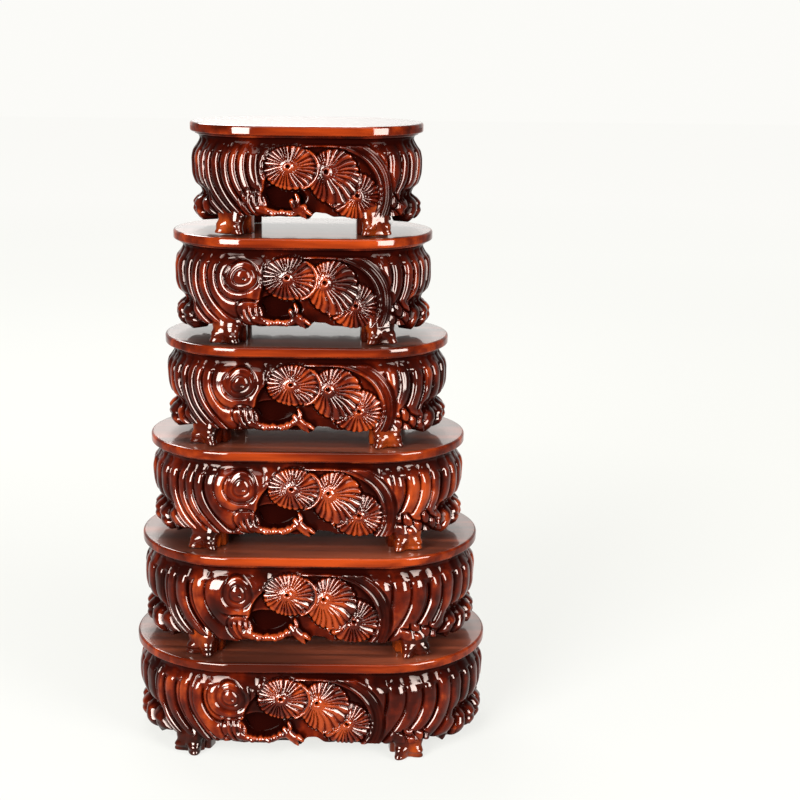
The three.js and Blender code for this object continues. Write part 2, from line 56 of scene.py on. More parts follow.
# The set: number of stands, and for each, lowest first, where its rosettes, deep hollow and
# ringed knot (None: no knot) lie along the front, the angles of its legs round the ends, and the
# pitch of its ribs
TIERS = 6
MOTIF_X = (-7.0, -2.0, 2.0, 2.0, 2.0, 0.0)
HOLLOW_X = (-29.0, -24.0, -18.0, -18.0, -12.5, -12.5)
KNOT_X = (-50.0, -44.0, -40.0, -40.0, -36.0, None)
LEG_ANGLE = {"left": (28.5, 21.5, 21.5, 31.0, 17.0, 25.0),
             "right": (18.5, 25.5, 25.5, 19.0, 24.5, 24.0),
             "back": (22.0,) * TIERS}
RIB_PITCH = {"left": (11.5, 11.0, 7.4, 7.6, 6.6, 7.2),
             "right": (13.0, 13.0, 10.0, 10.0, 10.0, 10.5),
             "back": (13.5, 13.5, 12.0, 12.0, 12.0, 12.0)}
END_PITCH = (13.5, 13.5, 12.0, 12.0, 11.5, 11.0)

# How much lighter or darker each stand is coloured, as a shift of its tone
SHADE = (0.01, 0.02, 0.06, -0.03, -0.06, -0.10)

# Height that the carving is drawn for; it stretches with the height of each stand
DRAWN_HEIGHT = 70.0

# Board and aprons: thickness, inner face of the wall, angle and gap of the seams round the ends,
# and drawn heights of the aprons' top and lower edge
BOARD_THICK = 6.0
WALL_INSET = 15.0
SEAM_ANGLE = 50.0
SEAM_GAP = 0.08
APRON_TOP = 63.9
APRON_EDGE = 12.7

# Knots of the profiles: height over the floor and inset from the board's edge
FRONT_PROFILE = ((11.0, 5.0), (12.7, 3.6), (15.0, 2.6), (20.0, 1.7), (28.0, 1.0), (36.0, 0.7),
                 (46.0, 0.9), (51.5, 1.9), (54.8, 3.8), (57.5, 6.4))
END_PROFILE = ((6.0, 7.0), (7.5, 4.6), (9.5, 2.6), (13.0, 1.0), (17.0, 1.0), (20.5, 3.2),
               (24.0, 7.2), (27.0, 6.2), (31.0, 2.6), (38.0, 1.0), (46.0, 0.8), (51.0, 1.6),
               (54.8, 3.8), (57.5, 6.4))
NECK_PROFILE = ((53.5, 3.0), (56.5, 4.8), (59.5, 6.0), (61.8, 5.2), (62.5, 3.2), (64.0, 2.8))


def ease(low, high, x):
    """Smooth step from 0 at low to 1 at high: 3s^2 - 2s^3 of the share s between them."""
    share = np.clip((x - low) / (high - low), 0.0, 1.0)
    return share * share * (3.0 - 2.0 * share)


def hill(x, width):
    """Bell of height 1 at x = 0: exp(-(x / width)^2)."""
    return np.exp(-(x / width) ** 2)


def raised(x, height, width):
    """Bell of the given height."""
    return height * hill(x, width)


def vary(number, rate, shift=0.0):
    """Value that differs from rib to rib: the sine of its number times the rate, plus a shift."""
    return np.sin(number * rate + shift)


def through(knots, x):
    """Monotone cubic through the knots: each piece is the cubic Hermite curve whose end slopes
    are the harmonic means of the chords' slopes, or 0 where the chords turn."""
    xs, ys = np.array(knots, float).T
    steps = np.diff(xs)
    chords = np.diff(ys) / steps
    before, after = chords[:-1], chords[1:]
    product = before * after
    total = np.where(product > 0, before + after, 1.0)
    inner = np.where(product > 0, 2.0 * product / total, 0.0)
    slopes = np.concatenate([[chords[0]], inner, [chords[-1]]])
    x = np.clip(x, xs[0], xs[-1])
    piece = np.clip(np.searchsorted(xs, x, side="right") - 1, 0, len(steps) - 1)
    width = steps[piece]
    share = (x - xs[piece]) / width
    square, cube = share ** 2, share ** 3
    return ((2 * cube - 3 * square + 1) * ys[piece] + (cube - 2 * square + share) * width * slopes[piece]
            + (3 * square - 2 * cube) * ys[piece + 1] + (cube - square) * width * slopes[piece + 1])


class Stand:
    """Sizes of one stand, read from its board and legs in the frame."""

    def __init__(self, index):
        self.index = index
        self.name = f"tier{index + 1}"
        low, high = (np.array(corner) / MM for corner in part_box(f"{self.name}_top_board"))
        foot_low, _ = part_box(f"{self.name}_front_left_leg")
        self.floor = foot_low[2] / MM
        self.height = high[2] - self.floor
        self.centre = (low[0] + high[0]) / 2
        self.radius = (high[1] - low[1]) / 2
        self.half = (high[0] - low[0]) / 2 - self.radius
        self.quarter = self.half + math.pi * self.radius / 2
        self.seam = self.half + self.radius * math.radians(SEAM_ANGLE)
        self.legs = {side: self.half + self.radius * math.radians(angles[index])
                     for side, angles in LEG_ANGLE.items()}
        self.pitch = {side: pitches[index] for side, pitches in RIB_PITCH.items()}
        self.end_pitch = END_PITCH[index]
        self.shade = SHADE[index]
        self.motif = MOTIF_X[index]
        self.hollow = HOLLOW_X[index]
        self.knot = KNOT_X[index]

    def place(self, u, inset, drawn_z, turned=False):
        """Point at the way u round the oval from the middle of its front, the inset inside the
        board's edge, and the drawn height stretched to the stand's. A turned face is the
        front's, turned half a turn about the stand's axis."""
        turn = np.round(u / (2 * self.quarter))
        local = u - turn * 2 * self.quarter
        flip = np.where(turn % 2 == 0, 1.0, -1.0) * (-1.0 if turned else 1.0)
        along = np.clip(local, -self.half, self.half)
        angle = (local - along) / self.radius
        reach = self.radius - inset
        x = self.centre + flip * (along + np.sin(angle) * reach)
        y = -flip * np.cos(angle) * reach
        z = self.floor + drawn_z * self.height / DRAWN_HEIGHT + 0 * x
        return np.stack(np.broadcast_arrays(x, y, z), -1) * MM


# In the formulas, the numbers in a sine and before it only make edges and ribs waver a little

# Ribs: how they bow out and sweep back at the foot towards the rosettes, the share of their pitch
# that is cut down between them, and how their crests lean
RIB_BOW = 4.5
RIB_SWEEP = 18.0
SWEEP_POWER = 2.3
SWEEP_REACH = 42.0
FADE_AT_END, FADE_AT_SIDE = 18.0, 25.0
RIB_TOP = 58.5
RIB_CUT = 0.29
LEAST_CUT, MOST_CUT = 2.1, 3.3
RIB_SHARPNESS = 2.8
RIB_LEAN = 0.11

# Ribs: where their pitch widens past the leg, and steps to count them
PITCH_RANGE = (8.0, 40.0)
COUNT_STEPS = 400

# Fine cuts, depth and width: the groove between two ribs, the hairline on some, the second groove
# on the widest, and the swell along each
GROOVE = (0.5, 0.09)
LINE, LINE_OFF, LINE_RIBS = (0.22, 0.022), 0.25, (0.3, 0.6)
SECOND_DEPTH, SECOND_WIDTH, SECOND_OFF = 1.2, 0.045, 0.14
SECOND_PITCH = (9.5, 11.0)
SWELL, SWELL_LENGTH = 0.3, 9.0

# Tops of the ribs under the neck, and the lumps below the waist of the ends
TOP_ARCH, ARCH_POWER = 0.5, 1.7
SHOULDER = (53.6, 57.0)
NOTCH_DEPTH, NOTCH = 0.7, (61.5, 58.0)
LUMP_DEPTH, LUMP_POWER = 4.4, 2.4
LUMP_LINE, LUMP_LINE_Z = (0.6, 1.3), 16.0
WAIST = (40.0, 56.0)
WAIST_Z, WAIST_BLEND = 24.0, 1.5

# Rings of the ribs round the knot: their reach, and how much shallower they are beside it
KNOT_REACH = 22.0
RING_FADE = 30.0
CALM, CALM_RANGE = 0.3, (26.0, 12.0)


def rib_pitch(stand, side, past):
    """Pitch at the way past the leg: it widens towards the end and wavers by a sine."""
    widening = stand.end_pitch - stand.pitch[side]
    pitch = stand.pitch[side] + widening * ease(*PITCH_RANGE, past)
    return pitch * (1.0 + 0.14 * np.sin(0.23 * past + 1.3 * stand.index))


def rib_count(stand, side, way):
    """Number of ribs from the leg: the integral of one over the pitch, scaled so that a crest
    falls on the end's middle and a groove on the middle of the side."""
    leg = stand.legs[side]
    grid = np.linspace(-leg, stand.quarter - leg, COUNT_STEPS)
    pitch = rib_pitch(stand, side, grid)
    count = np.concatenate([[0], np.cumsum(np.diff(grid) / (0.5 * (pitch[1:] + pitch[:-1])))])
    count -= np.interp(0.0, grid, count)
    outer, inner = count[-1], count[0]
    scaled = np.where(grid > 0, count * round(outer) / outer,
                      count * (math.floor(-inner) + 0.5) / -inner)
    return np.interp(way - leg, grid, scaled)


def end_share(stand, way):
    """Share of the end's profile, with its waist, at a way from the middle of a side."""
    return ease(*WAIST, np.degrees((way - stand.half) / stand.radius))


def ribs(stand, u, t, side, front):
    """Inset of the root ribs. A rib keeps one place at the neck: it comes by undoing the bow, a
    half sine over the height, and the sweep of its foot. Round the knot the ribs are rings: the
    place is the knot's plus the distance from it, whose part up the height fades away from the
    knot. A rib is a rounded arch, cut down with a power of the distance from its crest, which
    leans to one side. Below the waist of the ends it goes on as a rounder lump."""
    way = stand.quarter - np.abs(np.abs(u) - stand.quarter)
    drop = np.clip((RIB_TOP - t) / (RIB_TOP - APRON_EDGE), 0.0, 1.0)
    weight = (hill(way - stand.legs[side], SWEEP_REACH)
              * ease(0.0, FADE_AT_END, stand.quarter - way) * ease(0.0, FADE_AT_SIDE, way))
    label = way - weight * (RIB_BOW * np.sin(np.pi * drop) - RIB_SWEEP * drop ** SWEEP_POWER)
    phase = rib_count(stand, side, label)
    calm = 0.0
    if front and side == "left" and stand.knot is not None:
        across, up = label + stand.knot, t - KNOT_Z
        distance = np.sqrt(across ** 2 + (up * hill(across, KNOT_REACH)) ** 2)
        start = rib_count(stand, side, -stand.knot)
        phase = rib_count(stand, side, -stand.knot + distance)
        phase = phase - (start - np.round(start)) * ease(RING_FADE, 0.0, distance)
        calm = CALM * ease(*CALM_RANGE, distance)
    at_end = end_share(stand, way)
    rib = np.round(phase)
    off = phase - rib
    crest = 2.0 * np.abs(off + RIB_LEAN * (1.0 - 4.0 * off ** 2))
    pitch = rib_pitch(stand, side, label - stand.legs[side])
    depth = np.clip(RIB_CUT * pitch, LEAST_CUT, MOST_CUT)
    depth = depth * (0.94 + 0.12 * vary(rib, 2.4, stand.index))
    depth = depth * (1.0 - calm)
    groove = raised(crest - 1.0, *GROOVE)
    line = raised(off - LINE_OFF, *LINE) * ease(*LINE_RIBS, vary(rib, 1.7, 1.0))
    swell = SWELL * np.sin(t / SWELL_LENGTH + rib * 2.1 + stand.index) * (1.0 - crest)
    base = through(FRONT_PROFILE, t) * (1.0 - at_end) + through(END_PROFILE, t) * at_end
    lumps = at_end * ease(WAIST_Z + WAIST_BLEND, WAIST_Z - WAIST_BLEND, t)
    across_lump = t - LUMP_LINE_Z - 1.5 * vary(rib, 2.0)
    lump_cut = LUMP_DEPTH * crest ** LUMP_POWER + raised(across_lump, *LUMP_LINE)
    fused = 0.80 + 0.20 * vary(np.floor(phase), 2.3, 1.7 * stand.index)
    split = ease(*SECOND_PITCH, pitch) * (side == "left") * front
    second = split * SECOND_DEPTH * hill(off - SECOND_OFF - 0.08 * vary(rib, 2.2), SECOND_WIDTH)
    rib_cut = (depth * crest ** RIB_SHARPNESS + groove) * fused + line + second - swell
    cut = rib_cut * (1.0 - lumps) + lump_cut * lumps
    neck = through(NECK_PROFILE, t) + NOTCH_DEPTH * crest ** 2 * ease(*NOTCH, t)
    waver = 1.6 * vary(rib, 1.9, stand.index) * (1.0 - crest ** 2)
    top = TOP_ARCH * pitch * fused * crest ** ARCH_POWER + waver
    shoulder = ease(*SHOULDER, t + top)
    return (base + cut) * (1.0 - shoulder) + neck * shoulder


# Ringed knot beside the rosettes. Each form on it has a place, and a height or depth and width
KNOT_Z = 45.0
KNOT_RADIUS, KNOT_BLEND = 10.2, 0.7
KNOT_FACE, KNOT_FALL, KNOT_POWER = 0.7, 2.0, 2.6
RING_AT, RING = 5.4, (0.7, 0.8)
HAIRLINE_AT, HAIRLINE = 7.9, (0.2, 0.35)
BOSS_AT, BOSS = (-0.9, 1.1), (0.7, 2.2)
PIT_AT, PIT = (1.6, -1.0), (0.9, 0.8)
MOAT_AT, MOAT = 0.6, (0.7, 0.55)


def ringed_knot(stand, u, t, inset):
    """Inset with the knot: a low dome with a ring cut round a boss that sits a little off its
    middle, and a pit beside the boss. The distance wavers by a sine of the angle."""
    du, dt = u - stand.knot, t - KNOT_Z
    angle = np.arctan2(dt, du)
    waver = 1.0 + 0.07 * np.sin(2.0 * angle + stand.index) + 0.04 * np.sin(3.0 * angle)
    reach = np.hypot(du, dt) * waver
    boss = np.hypot(du - BOSS_AT[0], dt - BOSS_AT[1])
    pit = np.hypot(du - PIT_AT[0], dt - PIT_AT[1])
    dome = (KNOT_FACE + KNOT_FALL * (reach / KNOT_RADIUS) ** KNOT_POWER
            + raised(reach - RING_AT, *RING) - raised(boss, *BOSS) + raised(pit, *PIT)
            + raised(reach - HAIRLINE_AT, *HAIRLINE))
    share = ease(KNOT_RADIUS + KNOT_BLEND, KNOT_RADIUS - KNOT_BLEND, reach)
    inset = inset + (dome - inset) * share
    return inset + raised(reach - KNOT_RADIUS - MOAT_AT, *MOAT)


# The field that holds the rosettes: a rounded oval that reaches left past the hollow, bounded by
# the smooth stem that arches over it
FIELD_X, FIELD_Z = 11.0, 28.0
FIELD_RIGHT, FIELD_HIGH = 38.5, 29.0
FIELD_PAST = 12.6
FIELD_POWER = 2.1
FIELD_INSET = 6.2
FIELD_SCALE = 31.0
FIELD_EDGE = (-0.8, 0.3)
FIELD_NECK = (57.0, 59.5)

# The stem: it tapers and melts into the ribs to the left, with ridges (way past the field's edge,
# height, width) and grooves (way, width)
STEM_WIDTH, STEM_TAPER = 8.5, 5.0
TAPER_FROM, TAPER_TO = 10.0, -12.0
STEM_INSIDE, STEM_OUTSIDE = 0.6, 0.8
MELT, MELT_FROM, MELT_TO = 0.85, 8.0, -6.0
STEM_FACE = 3.3
STEM_RIDGES = ((1.2, 0.9, 0.9), (5.4, 0.9, 2.6))
STEM_GROOVE = 0.35
STEM_GROOVES = ((2.7, 0.35), (4.9, 0.3), (7.0, 0.35))

# Rosettes, the lowest first: centre, half sizes and eye from the motif's middle, needles, inset
# of the face, and middle and half width in degrees of the smooth rim beside it (None: no rim)
ROSETTES = (
    {"x": 33.6, "z": 26.0, "a": 16.8, "b": 14.4, "eye": (34.3, 26.6), "needles": 26, "inset": 2.1,
     "rim": (145.0, 60.0)},
    {"x": 19.4, "z": 38.2, "a": 16.0, "b": 17.4, "eye": (13.9, 42.0), "needles": 26, "inset": 1.5,
     "rim": None},
    {"x": -8.2, "z": 43.6, "a": 16.6, "b": 13.8, "eye": (-9.6, 44.8), "needles": 28, "inset": 0.9,
     "rim": (-5.0, 56.0)},
)
ROSETTE_FALL = 2.7
ROSETTE_BLEND = 0.3
NEEDLE_DEPTH, NEEDLE_RANGE = 1.35, (0.08, 0.5)
NEEDLE_ROUND = 0.8
NEEDLE_BEND, BEND_RATE = 0.5, 0.35
LOWER_NEEDLE, LOWER_RANGE = 0.3, (0.2, 0.8)
TIP_LEAST, TIP_REACH, TIP_ROUND = 0.965, 0.06, 0.6
EYE_SHARE, EYE_RING, EYE_PIT = 0.12, (0.9, 0.05), (3.0, 0.065)
EDGE_AT, EDGE_GROOVE = 0.6, (0.9, 0.7)

# The smooth rim beside a rosette
RIM_OFF = 0.3
RIM_INSET, RIM_FALL, RIM_WIDTH = 1.0, 1.2, 1.3
RIM_PAST, RIM_LEAST = 0.3, 0.1

# Hollow below the rosettes, with a wavering outline, a dished floor and a steep side, and how far
# its painted shade darkens the tone
HOLLOW_Z = 24.6
HOLLOW_WIDE, HOLLOW_HIGH = 12.4, 8.0
HOLLOW_DEPTH = 11.8
HOLLOW_DISH = 0.8
HOLLOW_SIDE = (1.14, 0.88)
HOLLOW_GLOOM = 4.0

# Inset behind every other form, and the number of steps along a bar
FAR = 1e3
BAR_STEPS = 40


def bar(u, t, route, radius, inset):
    """Inset of a round bar: its axis is a smooth curve through the route, and the bar stands out
    by the height of a circle over the distance from the axis."""
    route = np.array(route, float)
    share = np.linspace(0, len(route) - 1, BAR_STEPS)
    knots = np.arange(len(route))
    path_u = through(np.stack([knots, route[:, 0]], -1), share)
    path_t = through(np.stack([knots, route[:, 1]], -1), share)
    radii = np.interp(share, np.linspace(0, len(route) - 1, len(radius)), radius)
    best = np.full(np.broadcast(u, t).shape, FAR)
    for pu, pt, r in zip(path_u, path_t, radii):
        square = r * r - (u - pu) ** 2 - (t - pt) ** 2
        best = np.minimum(best, np.where(square > 0, inset - np.sqrt(np.maximum(square, 0)), FAR))
    return best


def soft_min(a, b, width):
    """Smaller of two insets, rounded over the given width where they are near each other."""
    share = np.clip(0.5 + 0.5 * (b - a) / width, 0.0, 1.0)
    return b * (1 - share) + a * share - width * share * (1 - share)


def rosette(u, t, shape, motif):
    """Inset of a pine-needle rosette, the share of the way from its eye to its rim, the rim's
    distance from the eye and the distance past the rim. The rim's distance is the root of the
    oval's quadratic in that direction. The needles are the absolute sine of half their number
    times the angle, every other one lower. The face falls with the square of the share, with a
    raised ring and a pit at the eye."""
    eye_u, eye_t = motif + shape["eye"][0], shape["eye"][1]
    du, dt = u - eye_u, t - eye_t
    distance = np.hypot(du, dt) + 1e-6
    angle = np.arctan2(dt, du)
    cos, sin = du / distance, dt / distance
    off_u, off_t = eye_u - motif - shape["x"], eye_t - shape["z"]
    a, b = shape["a"], shape["b"]
    qa = (cos / a) ** 2 + (sin / b) ** 2
    qb = off_u * cos / a ** 2 + off_t * sin / b ** 2
    qc = (off_u / a) ** 2 + (off_t / b) ** 2 - 1.0
    rim = (-qb + np.sqrt(qb ** 2 - qa * qc)) / qa
    crowded = angle + 0.06 * np.sin(3 * angle + motif) + 0.03 * np.sin(7 * angle)
    turn = shape["needles"] * crowded
    bend = NEEDLE_BEND * np.sin(distance * BEND_RATE)
    wave = np.abs(np.sin(turn / 2 + bend))
    ridge = wave ** NEEDLE_ROUND
    lower = 0.5 + 0.5 * np.cos(turn / 2 + bend + np.pi / 4)
    share = distance / (rim * (TIP_LEAST + TIP_REACH * wave ** TIP_ROUND))
    depth = NEEDLE_DEPTH * ease(*NEEDLE_RANGE, share)
    face = (shape["inset"] + ROSETTE_FALL * share ** 2 + depth * (1.0 - ridge)
            + LOWER_NEEDLE * lower * ease(*LOWER_RANGE, share))
    face = face - raised(share - EYE_SHARE, *EYE_RING) + raised(share, *EYE_PIT)
    return face, share, rim, distance - rim


def front_field(stand, u, t, outside):
    """Inset of the front carving and a value that is 1 on a rosette, -1 on the stem and lower in the
    hollow as painted shade: the ribs outside, the stem round the sunk field, the deep hollow, the
    rosettes one over another, and the branch and its shoots in front."""
    motif = stand.motif
    off = u - motif - FIELD_X
    field_left = FIELD_X - (stand.hollow - motif) + FIELD_PAST
    off = off / np.where(off > 0, FIELD_RIGHT, field_left)
    q = (np.abs(off) ** FIELD_POWER
         + (np.abs(t - FIELD_Z) / FIELD_HIGH) ** FIELD_POWER) ** (1 / FIELD_POWER)
    past = (q - 1.0) * FIELD_SCALE
    stem = STEM_FACE
    for way, height, ridge_width in STEM_RIDGES:
        stem = stem - raised(past - way, height, ridge_width)
    stem = stem + STEM_GROOVE * sum(hill(past - way, groove) for way, groove in STEM_GROOVES)
    melted = MELT * ease(motif + MELT_FROM, motif + MELT_TO, u)
    stem = stem + (outside - stem) * melted
    past_edge = ease(*FIELD_EDGE, past)
    inset = FIELD_INSET + (stem - FIELD_INSET) * past_edge
    width = STEM_WIDTH - STEM_TAPER * ease(motif + TAPER_FROM, motif + TAPER_TO, u)
    inset = inset + (outside - inset) * ease(width - STEM_INSIDE, width + STEM_OUTSIDE, past)
    inset = inset + (through(NECK_PROFILE, t) - inset) * ease(*FIELD_NECK, t)
    inset, cave = hollow(stand, u, t, inset)
    on_stem = ease(width + STEM_OUTSIDE, width - STEM_INSIDE, past)
    # Painted shade: the value, and so the tone, falls deep inside the hollow
    bloom_and_shade = -past_edge * on_stem * (1.0 - melted) - HOLLOW_GLOOM * cave
    for shape in ROSETTES:
        face, part, reach, past_rim = rosette(u, t, shape, motif)
        gap = (part - 1.0) * reach
        inset = inset + raised(gap - EDGE_AT, *EDGE_GROOVE) * (gap > 0)
        inset = crescent(shape, u - motif, t, past_rim - RIM_OFF, inset)
        inside = ease(ROSETTE_BLEND, -ROSETTE_BLEND, gap)
        inset = inset + (face - inset) * inside
        bloom_and_shade = bloom_and_shade + (1.0 - bloom_and_shade) * inside
    return branch(stand, u, t, inset), bloom_and_shade


def hollow(stand, u, t, inset):
    """Inset with the hollow, an oval cave sunk to its depth with steep rounded sides, and its
    share."""
    du, dt = u - stand.hollow, t - HOLLOW_Z
    angle = np.arctan2(dt / HOLLOW_HIGH, du / HOLLOW_WIDE)
    reach = np.hypot(du / HOLLOW_WIDE, dt / HOLLOW_HIGH)
    waver = 1.0 + 0.06 * np.cos(2 * angle + 0.6) + 0.05 * np.cos(3 * angle - 0.8)
    reach = reach / waver
    floor = HOLLOW_DEPTH - HOLLOW_DISH * reach ** 2
    share = ease(*HOLLOW_SIDE, reach)
    return inset + (np.maximum(floor, inset) - inset) * share, share


def crescent(shape, u, t, gap, inset):
    """Inset with the smooth rim beside a rosette: a narrow raised band just outside its edge,
    between two angles round its middle, thin towards both."""
    if shape["rim"] is None:
        return inset
    middle, half_width = shape["rim"]
    turn = np.arctan2(t - shape["z"], u - shape["x"]) - math.radians(middle)
    turn = np.degrees(np.abs(np.arctan2(np.sin(turn), np.cos(turn))))
    thick = np.sqrt(np.maximum(1.0 - (turn / half_width) ** 2, 0.0))
    band = shape["inset"] + RIM_INSET + RIM_FALL * ((gap - thick) / RIM_WIDTH) ** 2
    on_rim = (gap < 2.0 * thick + RIM_PAST) & (thick > RIM_LEAST)
    return np.where(on_rim, np.minimum(inset, band), inset)


# Branch below the hollow: way and height along its axis, which ends at the twig, and its radii;
# knuckles as way, height and radius
BRANCH_ROUTE = ((-15, 18.0), (-9, 15.6), (-2, 14.6), (6, 15.0), (12, 17.6))
BRANCH_END = (-3, 18.5)
BRANCH_RADII, BRANCH_INSET, BRANCH_BLEND = (3.2, 2.3, 2.0, 2.2, 1.9, 2.0), 3.4, 0.8
KNUCKLES = ((-11.0, 16.2, 2.9), (-6.5, 14.6, 2.2), (-1.0, 15.2, 2.6), (4.5, 14.4, 2.1),
            (8.5, 16.4, 2.5), (12.5, 18.6, 2.6))
KNOB_SINK, KNOB_SQUASH = 0.6, 1.15

# Twig, thorn and spur: way and height along the axis, radii and inset
SHOOTS = ((((-7.0, 22.5), (-4.5, 19.5), (-1.5, 16.5), (1.4, 11.2)), (1.8, 3.2, 3.0, 1.1), 3.2),
          (((-2.0, 17.5), (1.5, 16.6), (5.0, 14.2)), (2.2, 1.8, 0.9), 2.7),
          (((-4.5, 20.5), (-3.6, 24.0), (-4.6, 27.0)), (2.0, 1.5, 0.8), 2.9))
SHOOT_BLEND = 0.6

# Thick wrinkled end of the branch: a slanted dome with folds and a groove round it
FIST_WAY, FIST_Z = -18.5, 21.5
FIST_WIDE, FIST_HIGH, FIST_SLANT = 8.4, 8.2, 0.25
FIST_INSET, FIST_HEIGHT = 4.6, 4.2
FIST_FOLD, FOLD_SLANT, FOLD_DEPTH, FOLD_ROUND, FOLD_FADE = 3.9, 0.35, 1.9, 0.8, 0.3
FIST_RING_AT, FIST_RING_WIDE = 1.07, 0.08


def knob(u, t, knob_u, knob_t, radius):
    """Inset of a round knob: a ball of the radius whose middle lies a little under the face."""
    square = radius ** 2 - (u - knob_u) ** 2 - ((t - knob_t) * KNOB_SQUASH) ** 2
    return np.where(square > 0, KNOB_SINK + radius - np.sqrt(np.maximum(square, 0)), FAR)


def branch(stand, u, t, inset):
    """Inset with the knobbly branch under the hollow, its thick wrinkled end, and its shoots. The
    end is an oval dome with folds, an absolute sine of the way across it."""
    middle, motif = stand.hollow, stand.motif
    past, rise = u - middle - FIST_WAY, t - FIST_Z
    across, up = past / FIST_WIDE, (rise + FIST_SLANT * past) / FIST_HIGH
    square = 1.0 - across ** 2 - up ** 2
    slanted = np.pi * (u - middle + FOLD_SLANT * rise) / FIST_FOLD
    fold = np.abs(np.sin(slanted + 0.6 * np.sin(t / 2.6)))
    end = (FIST_INSET - FIST_HEIGHT * np.sqrt(np.maximum(square, 0))
           + FOLD_DEPTH * (1.0 - fold ** FOLD_ROUND) * ease(0.0, FOLD_FADE, square))
    from_middle = np.sqrt(1.0 - np.minimum(square, 1.0))
    inset = inset + hill(from_middle - FIST_RING_AT, FIST_RING_WIDE)
    inset = soft_min(inset, np.where(square > 0, end, FAR), BRANCH_BLEND)
    route = [(middle + way, height) for way, height in BRANCH_ROUTE]
    route.append((motif + BRANCH_END[0], BRANCH_END[1]))
    inset = soft_min(inset, bar(u, t, route, BRANCH_RADII, BRANCH_INSET), BRANCH_BLEND)
    for axis, radii, sink in SHOOTS:
        route = [(motif + way, height) for way, height in axis]
        inset = soft_min(inset, bar(u, t, route, radii, sink), SHOOT_BLEND)
    for knob_u, knob_t, radius in KNUCKLES:
        inset = soft_min(inset, knob(u, t, middle + knob_u, knob_t, radius), SHOOT_BLEND)
    return inset


# Rocky root beside the right front leg: middles of its lumps past the leg and up, how far past
# the leg and how high it reaches on each stand, and the slant, face and creases of its lumps
ROCKS = ((-10.0, 24.5), (-7.5, 16.5), (-2.5, 21.0), (0.5, 13.5), (4.5, 24.5), (6.5, 17.0),
         (12.0, 21.5), (12.5, 13.0), (18.5, 17.5), (19.5, 24.5), (24.5, 14.0))
ROCK_END = (9.0, 10.0, 22.0, 23.0, 22.0, 18.0)
ROCK_RISE = (19.0, 21.0, 24.0, 25.0, 25.0, 24.0)
ROCK_LEAN, ROCK_SQUASH = 0.45, 0.85
ROCK_FACE, ROCK_ROUND = 1.5, 0.06
CREASE_DEPTH, CREASE_WIDTH = 1.7, 2.6
ROCKS_START = (-14.5, -10.5)
ROCK_END_BLEND, ROCK_END_SLANT, ROCK_END_Z = 5.0, 0.5, 18.0
ROCK_TOP_BLEND = 4.0


def rocky_root(u, t, leg):
    """Inset of the lumps: each point belongs to its nearest middle; the face rises with the
    difference between the second nearest distance and the nearest, and is creased between."""
    past = u - leg
    nearest, second = np.full(past.shape, FAR), np.full(past.shape, FAR)
    tilt = np.zeros(past.shape)
    for number, (way, height) in enumerate(ROCKS):
        along, up = past - way, t - height
        distance = np.hypot(along + ROCK_LEAN * up, ROCK_SQUASH * up)
        closer = distance < nearest
        second = np.where(closer, nearest, np.minimum(second, distance))
        slope = 0.10 * math.sin(number * 2.4) * along + 0.12 * math.cos(number * 1.7) * up
        tilt = np.where(closer, slope, tilt)
        nearest = np.minimum(nearest, distance)
    rise = ease(0.0, CREASE_WIDTH, second - nearest)
    return ROCK_FACE + CREASE_DEPTH * (1.0 - rise) + ROCK_ROUND * nearest ** 2 + tilt


# Marks of the carver's tools, the ripple of the neck, and the least inset and wall
TOOL_MARKS = 0.12
RIPPLE_Z, NECK_RIPPLE = 57.0, (0.09, 3.5)
LEAST_INSET, LEAST_WALL = 0.25, 3.0


def carve(stand, u, t, sides, split, front):
    """Inset of the carved face at the way u round the oval and the drawn height t, and a value that
    is light on the rosettes, dark on the stem and painted shade in the hollow.
    The ribs follow one side's leg before the split and the other side's after it. The marks of
    the tools are products of slow sines."""
    first, second = sides
    inset = np.where(u < split, ribs(stand, u, t, first, front), ribs(stand, u, t, second, front))
    bloom_and_shade = 0 * inset
    if front:
        past = u - stand.legs["right"]
        far, high = ROCK_END[stand.index], ROCK_RISE[stand.index]
        rocky = (ease(*ROCKS_START, past)
                 * ease(far + ROCK_END_BLEND, far, past + ROCK_END_SLANT * (t - ROCK_END_Z))
                 * ease(high + ROCK_TOP_BLEND, high, t + 1.2 * np.sin(past / 2.7)))
        inset = inset + (rocky_root(u, t, stand.legs["right"]) - inset) * rocky
        if stand.knot is not None:
            inset = ringed_knot(stand, u, t, inset)
        inset, bloom_and_shade = front_field(stand, u, t, inset)
    tool = (TOOL_MARKS * np.sin(0.31 * u + 0.19 * t + stand.index)
            * np.sin(0.23 * t - 0.17 * u + 2.0))
    tool = tool + (raised(t - RIPPLE_Z, *NECK_RIPPLE)
                   * np.sin(u / 1.9 + 1.4 * np.sin(u / 5.3) + 0.5 * t))
    return np.clip(inset + tool, LEAST_INSET, WALL_INSET - LEAST_WALL), bloom_and_shade


# Lower edge: droop and scallops beyond the feet; on the front, dips at the twig and under the
# lowest rosette, with a shallow arch between
END_DROOP, SCALLOP = 5.7, 3.2
DROOP = (21.0, 28.0)
TWIG_AT, TWIG_DIP = 3.0, (2.0, 2.0)
ARCH_RISE = 2.5
ARCH_START, ARCH_END = (4.0, 8.2), (20.0, 13.5)
ROSETTE_AT, ROSETTE_DIP = 33.0, (0.8, 12.0)


